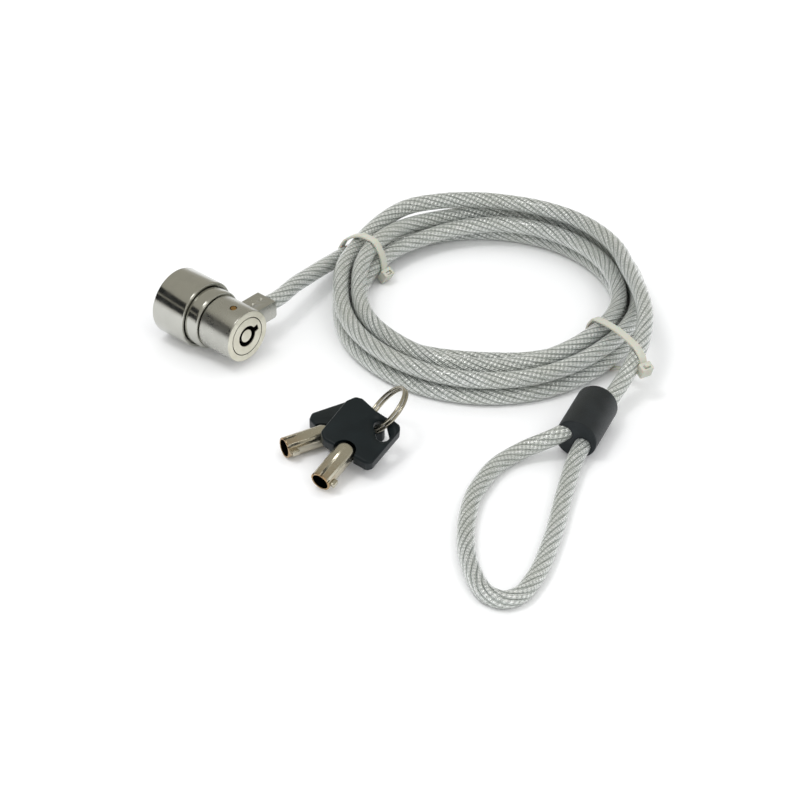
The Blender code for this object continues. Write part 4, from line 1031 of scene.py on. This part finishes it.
class LOCK_OT_head(bpy.types.Operator):
    """Make the lock head's collar, washer, step ring and swivel shell"""
    bl_idname = "cablelock.head"
    bl_label = "Lock head"

    def execute(self, context):
        s = context.scene.lock_head
        chrome = plated("Chrome-plated zinc casting", s.chrome, 0.13)
        satin = plated("Satin nickel-plated zinc casting", [c * 0.96 for c in s.chrome], 0.24)
        rubber = black_plastic("Moulded nitrile rubber", s.rubber, 0.5 * MM, 0.75, "#2c2c2c", 0.3)
        collar = front_collar(s.facets, s.edge, chrome)
        done(collar, "lock_head", "polished_chrome", "front_collar")
        bore = CORE_R + SEAT
        low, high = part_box("step_ring")
        outline = [(low.x, bore), (low.x, STEP_R), (high.x, STEP_R), (high.x, bore)]
        step = turned("bright_step_ring", fillet(outline, [0, 0.1 * MM, 0.9 * MM, 0.1 * MM], 8),
                      chrome, s.facets)
        done(step, "lock_head", "polished_chrome", "step_ring")
        low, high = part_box("rubber_washer")
        outline = [(low.x, WASHER_HOLE_R), (low.x, WASHER_R), (high.x, WASHER_R),
                   (high.x, WASHER_HOLE_R)]
        washer = turned("washer", fillet(outline, 0.2 * MM, 3), rubber, 96)
        done(washer, "lock_head", "black_rubber", "rubber_washer")
        shell = swivel_shell(s.facets, satin, machined_face(s))
        done(shell, "cord_side", "satin_nickel", "swivel_shell")
        return {"FINISHED"}


class LOCK_OT_metalwork(bpy.types.Operator):
    """Finish the pieces that keep their shape: core, rotor, pins, springs, T-bar and crimps"""
    bl_idname = "cablelock.metalwork"
    bl_label = "Metalwork"

    def execute(self, context):
        s = context.scene.lock_head
        dress(machined_face(s), "core_body", "centre_post")
        dress(plain_metal("Turned brass", s.brass, 0.28), "brass_pin", "rotor",
              *["key_pin_%d" % k for k in range(1, 8)])
        steel = plain_metal("Zinc-plated steel", linear("#b9bab8"), 0.26)
        dress(steel, "nose_plate", "t_bar", "retaining_clip", "cable_ferrule", "loop_crimp",
              *["%s_%d" % (n, k) for n in ("driver_pin", "pin_spring") for k in range(1, 8)])
        return {"FINISHED"}


def key_frame(name):
    """Where a key lies: its tip, heading, pitch and roll."""
    tip, heading, pitch, roll, _ = KEYS[name]
    return (Matrix.Translation(tip) @ Matrix.Rotation(radians(heading), 4, "Z")
            @ Matrix.Rotation(radians(-pitch), 4, "Y") @ Matrix.Rotation(radians(roll), 4, "X"))


def ring_slot(turn):
    """The cutter for the ring's slot in a key's head: a web in the middle, flared both ways."""
    sides, web, deep = 48, KEY_HOLE_WEB / 2, HEAD_THICK / 2
    levels = [(-HEAD_THICK, KEY_HOLE_FLARE * 2.2), (-deep, KEY_HOLE_FLARE)]
    levels += [(-web - (deep - web) * t, KEY_HOLE_FLARE * t ** 1.6) for t in (0.8, 0.6, 0.4, 0.2)]
    levels += [(-web, 0)]
    levels += [(-z, wider) for z, wider in reversed(levels)]
    bm, rings = bmesh.new(), []
    for z, wider in levels:
        radius = KEY_HOLE_R + wider
        rings.append([bm.verts.new(((1 if cos(a) > 0 else -1) * KEY_HOLE_SLOT + radius * cos(a),
                                    radius * sin(a), z))
                      for a in [2 * pi * (k + 0.5) / sides for k in range(sides)]])
    for ring, after in zip(rings, rings[1:]):
        for k in range(sides):
            bm.faces.new((ring[k], ring[(k + 1) % sides], after[(k + 1) % sides], after[k]))
    bm.faces.new(rings[0])
    bm.faces.new(rings[-1])
    slot = mesh_piece("ring_slot", bm)
    slot.data.transform(Matrix.Translation((*KEY_HOLE, 0))
                        @ Matrix.Rotation(radians(turn), 4, "Z"))
    return slot


def key_grip(name, mat):
    """A key's moulded head, with the mouth for its tube and the ring's slot."""
    way = KEY_TUBE_R + 0.2 * MM
    outline = fillet([(x * MM, y * MM) for x, y in HEAD_OUTLINE], 1.6 * MM, 4)
    head = prism(name + "_grip", outline, 2, -HEAD_THICK / 2, HEAD_THICK / 2, mat)
    head = soften(head, 0.8 * MM, 4, 50)
    mouth = [(KEY_NECK - 6 * MM, way), (KEY_NECK - 6 * MM, -way)]
    mouth += [(KEY_NECK + way * sin(pi * k / 24), -way * cos(pi * k / 24)) for k in range(25)]
    cutters = [prism("mouth", mouth, 2, -HEAD_THICK, HEAD_THICK),
               bar("stud_way", (KEY_NECK + way / 2, 0, 0), (KEY_STUD_REACH + SEAT, 0, 0),
                   KEY_STUD_R + SEAT, 24)]
    return carve(head, cutters + [ring_slot(KEYS[name][4])])


def key_barrel(name, mat):
    """A key's tube: bored from the tip, with its nib, seven pin cuts and the stud in the head."""
    bore = KEY_TUBE_R - KEY_TUBE_WALL
    outline = [(KEY_TUBE_DEPTH, 0), (KEY_TUBE_DEPTH, bore), (0, bore), (0, KEY_TUBE_R)]
    profile = fillet(outline, [0, 0, 0.12 * MM, 0.25 * MM], 3)
    profile += [(KEY_NECK + KEY_TUBE_R * sin(pi * k / 30), KEY_TUBE_R * cos(pi * k / 30))
                for k in range(10)]
    profile += [(profile[-1][0], KEY_STUD_R), (KEY_STUD_REACH, KEY_STUD_R), (KEY_STUD_REACH, 0)]
    tube = turned(name + "_barrel", profile, mat, 72)
    long, wide, high = KEY_NIB
    nib = block(name + "_nib", (KEY_NIB_BACK, -KEY_TUBE_R - high, -wide / 2),
                (KEY_NIB_BACK + long, -KEY_TUBE_R + KEY_TUBE_WALL / 2, wide / 2), mat)
    tube = carve(tube, [soften(nib, 0.3 * MM, 3, 30)], "UNION")
    # Half-round cuts, one for each pin, run back from the tip.
    cuts = []
    for k, deep in enumerate(KEY_CUTS):
        a = -pi / 2 + 2 * pi * (k + 0.5) / len(KEY_CUTS)
        y, z = KEY_TUBE_R * cos(a), KEY_TUBE_R * sin(a)
        cuts.append(bar("cut_%d" % k, (-0.5 * MM, y, z), (deep * MM, y, z), KEY_CUT_R, 20))
    tube = carve(tube, cuts)
    # The plate is worn through within 1.1 mm of the tip, and the bore is painted dark as painted
    # shade.
    wear = tube.data.attributes.new("wear", "FLOAT", "POINT")
    dark = tube.data.attributes.new("bore", "FLOAT", "POINT")
    for vertex, worn, inner in zip(tube.data.vertices, wear.data, dark.data):
        x, y, z = vertex.co
        worn.value = max(0.0, min(1.0, 1.05 - x / (1.1 * MM)))
        inner.value = 1.0 if x > 0.1 * MM and hypot(y, z) < bore + 0.1 * MM else 0.0
    return tube


class LOCK_OT_keys(bpy.types.Operator):
    """Make the two tubular keys: moulded heads and cut, plated tubes"""
    bl_idname = "cablelock.keys"
    bl_label = "Keys"

    def execute(self, context):
        s = context.scene.lock_keys
        plastic = black_plastic("Moulded black ABS", s.head, 0.35 * MM, 0.36, "#182225", 0.22)
        nickel = key_nickel(s)
        for name in KEYS:
            place = key_frame(name)
            for obj, sharp, slot, node in (
                    (key_grip(name, plastic), 32, "black_plastic", name + "_head"),
                    (key_barrel(name, nickel), 35, "warm_nickel", name + "_tube")):
                shade(obj.data, sharp)
                obj.data.transform(place)
                done(obj, name, slot, node)
        return {"FINISHED"}


class LOCK_OT_ring(bpy.types.Operator):
    """Make the split ring that holds the keys"""
    bl_idname = "cablelock.ring"
    bl_label = "Split ring"

    def execute(self, context):
        s = context.scene.lock_keys
        bright = plain_metal("Nickel-plated spring steel", s.nickel, 0.16)
        place = Matrix.Translation(RING_CENTRE) @ Vector((0, 0, 1)).rotation_difference(
            Vector(RING_AXIS).normalized()).to_matrix().to_4x4()
        # Two turns less four steps, so that the wire's ends stay apart.
        count, points = 96, []
        for k in range(2 * count - 3):
            a = 2 * pi * k / count
            rise = (k / (2 * count - 1) - 0.5) * RING_PITCH * 2 * 0.98
            points.append(place @ Vector((RING_R * cos(a), RING_R * sin(a), rise)))
        ring = drawn("split_ring", points, s.wire, 16, bright)
        done(ring, "key_bunch", "warm_nickel", "key_ring")
        return {"FINISHED"}


def shown_rays(tree):
    """The light path, and 1 for rays from the camera, off gloss or through glass."""
    ray = add(tree, "ShaderNodeLightPath")
    seen = add(tree, "ShaderNodeMath", {0: ray.outputs["Is Camera Ray"],
                                        1: ray.outputs["Is Glossy Ray"]}, operation="ADD",
               use_clamp=True)
    seen = add(tree, "ShaderNodeMath", {0: seen.outputs[0],
                                        1: ray.outputs["Is Transmission Ray"]},
               operation="ADD", use_clamp=True)
    return ray, seen


def make_camera(scene):
    """The camera at the photograph's angle: 42 degrees round, 35.6 up, with a long lens."""
    camera = bpy.data.objects.new("Camera", bpy.data.cameras.new("Camera"))
    camera.location = (0.5546, -0.5012, 0.4894)
    camera.rotation_euler = (radians(54.4), 0, radians(42))
    camera.data.lens, camera.data.sensor_width = 120, 36
    camera.data.clip_start, camera.data.clip_end = 0.01, 20
    scene.collection.objects.link(camera)
    scene.camera = camera


def make_surroundings():
    """The white table, and black cards beside the camera that give the metal its dark bands."""
    mat, tree, shader = shader_of("Matt white table", Roughness=0.9, Specular_IOR_Level=0.0)
    _, seen = shown_rays(tree)
    tint = add(tree, "ShaderNodeMix", {0: seen.outputs[0], 6: rgba(linear("#d8d8d6")),
                                       7: (1, 1, 1, 1)}, data_type="RGBA")
    tree.links.new(tint.outputs[2], shader.inputs["Base Color"])
    bm = bmesh.new()
    bmesh.ops.create_grid(bm, x_segments=1, y_segments=1, size=3)
    table = mesh_piece("table", bm, mat)
    table.location.z = TABLE_Z
    card, _, shader = shader_of("Black card", Roughness=1.0, Specular_IOR_Level=0.0)
    shader.inputs["Base Color"].default_value = rgba(linear("#16181a"))
    for name, low, high in (("card_low", 0.08, 0.30), ("card_high", 0.345, 0.62)):
        panel = prism(name, [(-1.5, low), (1.5, low), (1.5, high), (-1.5, high)], 0,
                      0, 0.002, card)
        panel.rotation_euler = (0, 0, radians(-125))
        panel.location = (-0.45, -0.62, 0)
        panel.visible_camera = panel.visible_diffuse = panel.visible_shadow = False


def make_light(scene, s):
    """A white world and two small soft lamps."""
    world = bpy.data.worlds.new("Studio")
    world.use_nodes = True
    tree = world.node_tree
    ray, seen = shown_rays(tree)
    sky = add(tree, "ShaderNodeMix", {0: seen.outputs[0], 6: (0.95, 0.955, 0.96, 1),
                                      7: (1, 1, 1, 1)}, data_type="RGBA")
    # Reflections meet a warm grey above the horizon, so the tops of the metal stay off white.
    way = add(tree, "ShaderNodeTexCoord")
    height = add(tree, "ShaderNodeSeparateXYZ", {0: way.outputs["Generated"]})
    above = add(tree, "ShaderNodeMapRange", {0: height.outputs[2], 1: 0.0, 2: 0.22,
                                             3: 0.25, 4: 1.0})
    above = add(tree, "ShaderNodeMath", {0: above.outputs[0],
                                         1: ray.outputs["Is Glossy Ray"]},
                operation="MULTIPLY")
    sky = add(tree, "ShaderNodeMix", {0: above.outputs[0], 6: sky.outputs[2],
                                      7: rgba(s.ceiling)}, data_type="RGBA")
    tree.links.new(sky.outputs[2], tree.nodes["Background"].inputs["Color"])
    scene.world = world
    target = Vector((0.08, 0.05, 0))
    for name, place, size, power in (("Main lamp", (-0.05, -0.25, 0.9), 0.25, s.lamp),
                                     ("Side lamp", (0.7, -0.1, 0.6), 0.3, s.lamp * 0.4)):
        lamp = bpy.data.lights.new(name, "AREA")
        lamp.energy, lamp.size = power, size
        obj = bpy.data.objects.new(name, lamp)
        obj.location = place
        obj.rotation_euler = (target - obj.location).to_track_quat("-Z", "Y").to_euler()
        scene.collection.objects.link(obj)
    scene.view_settings.view_transform = "Standard"


class LOCK_OT_stage(bpy.types.Operator):
    bl_idname = "cablelock.stage"
    bl_label = "Stage"

    def execute(self, context):
        scene = context.scene
        make_camera(scene)
        make_surroundings()
        make_light(scene, scene.lock_stage)

        whole, eye = cable_paths()
        return {"FINISHED"}


OPERATORS = (LOCK_OT_cable, LOCK_OT_sleeve, LOCK_OT_ties, LOCK_OT_head, LOCK_OT_metalwork,
             LOCK_OT_keys, LOCK_OT_ring, LOCK_OT_stage)
SETTINGS = {"lock_rope": RopeSettings, "lock_head": LockSettings, "lock_keys": KeySettings,
            "lock_stage": StageSettings}


class LOCK_PT_panel(bpy.types.Panel):
    """Settings and makers of the cable lock"""
    bl_idname = "LOCK_PT_panel"
    bl_label = "Cable Lock"
    bl_space_type = "VIEW_3D"
    bl_region_type = "UI"
    bl_category = "Cable Lock"

    def draw(self, context):
        for name, group in SETTINGS.items():
            box = self.layout.box()
            for key in group.__annotations__:
                box.prop(getattr(context.scene, name), key)
        for operator in OPERATORS:
            self.layout.operator(operator.bl_idname)


def register():
    for cls in (*SETTINGS.values(), *OPERATORS, LOCK_PT_panel):
        bpy.utils.register_class(cls)
    for name, group in SETTINGS.items():
        setattr(bpy.types.Scene, name, PointerProperty(type=group))


def unregister():
    for name in SETTINGS:
        delattr(bpy.types.Scene, name)
    for cls in (LOCK_PT_panel, *reversed(OPERATORS), *SETTINGS.values()):
        bpy.utils.unregister_class(cls)


def main():
    register()
    bpy.ops.cablelock.cable()
    bpy.ops.cablelock.sleeve()
    bpy.ops.cablelock.ties()
    bpy.ops.cablelock.head()
    bpy.ops.cablelock.metalwork()
    bpy.ops.cablelock.keys()
    bpy.ops.cablelock.ring()
    bpy.ops.cablelock.stage()


if __name__ == "__main__":
    main()
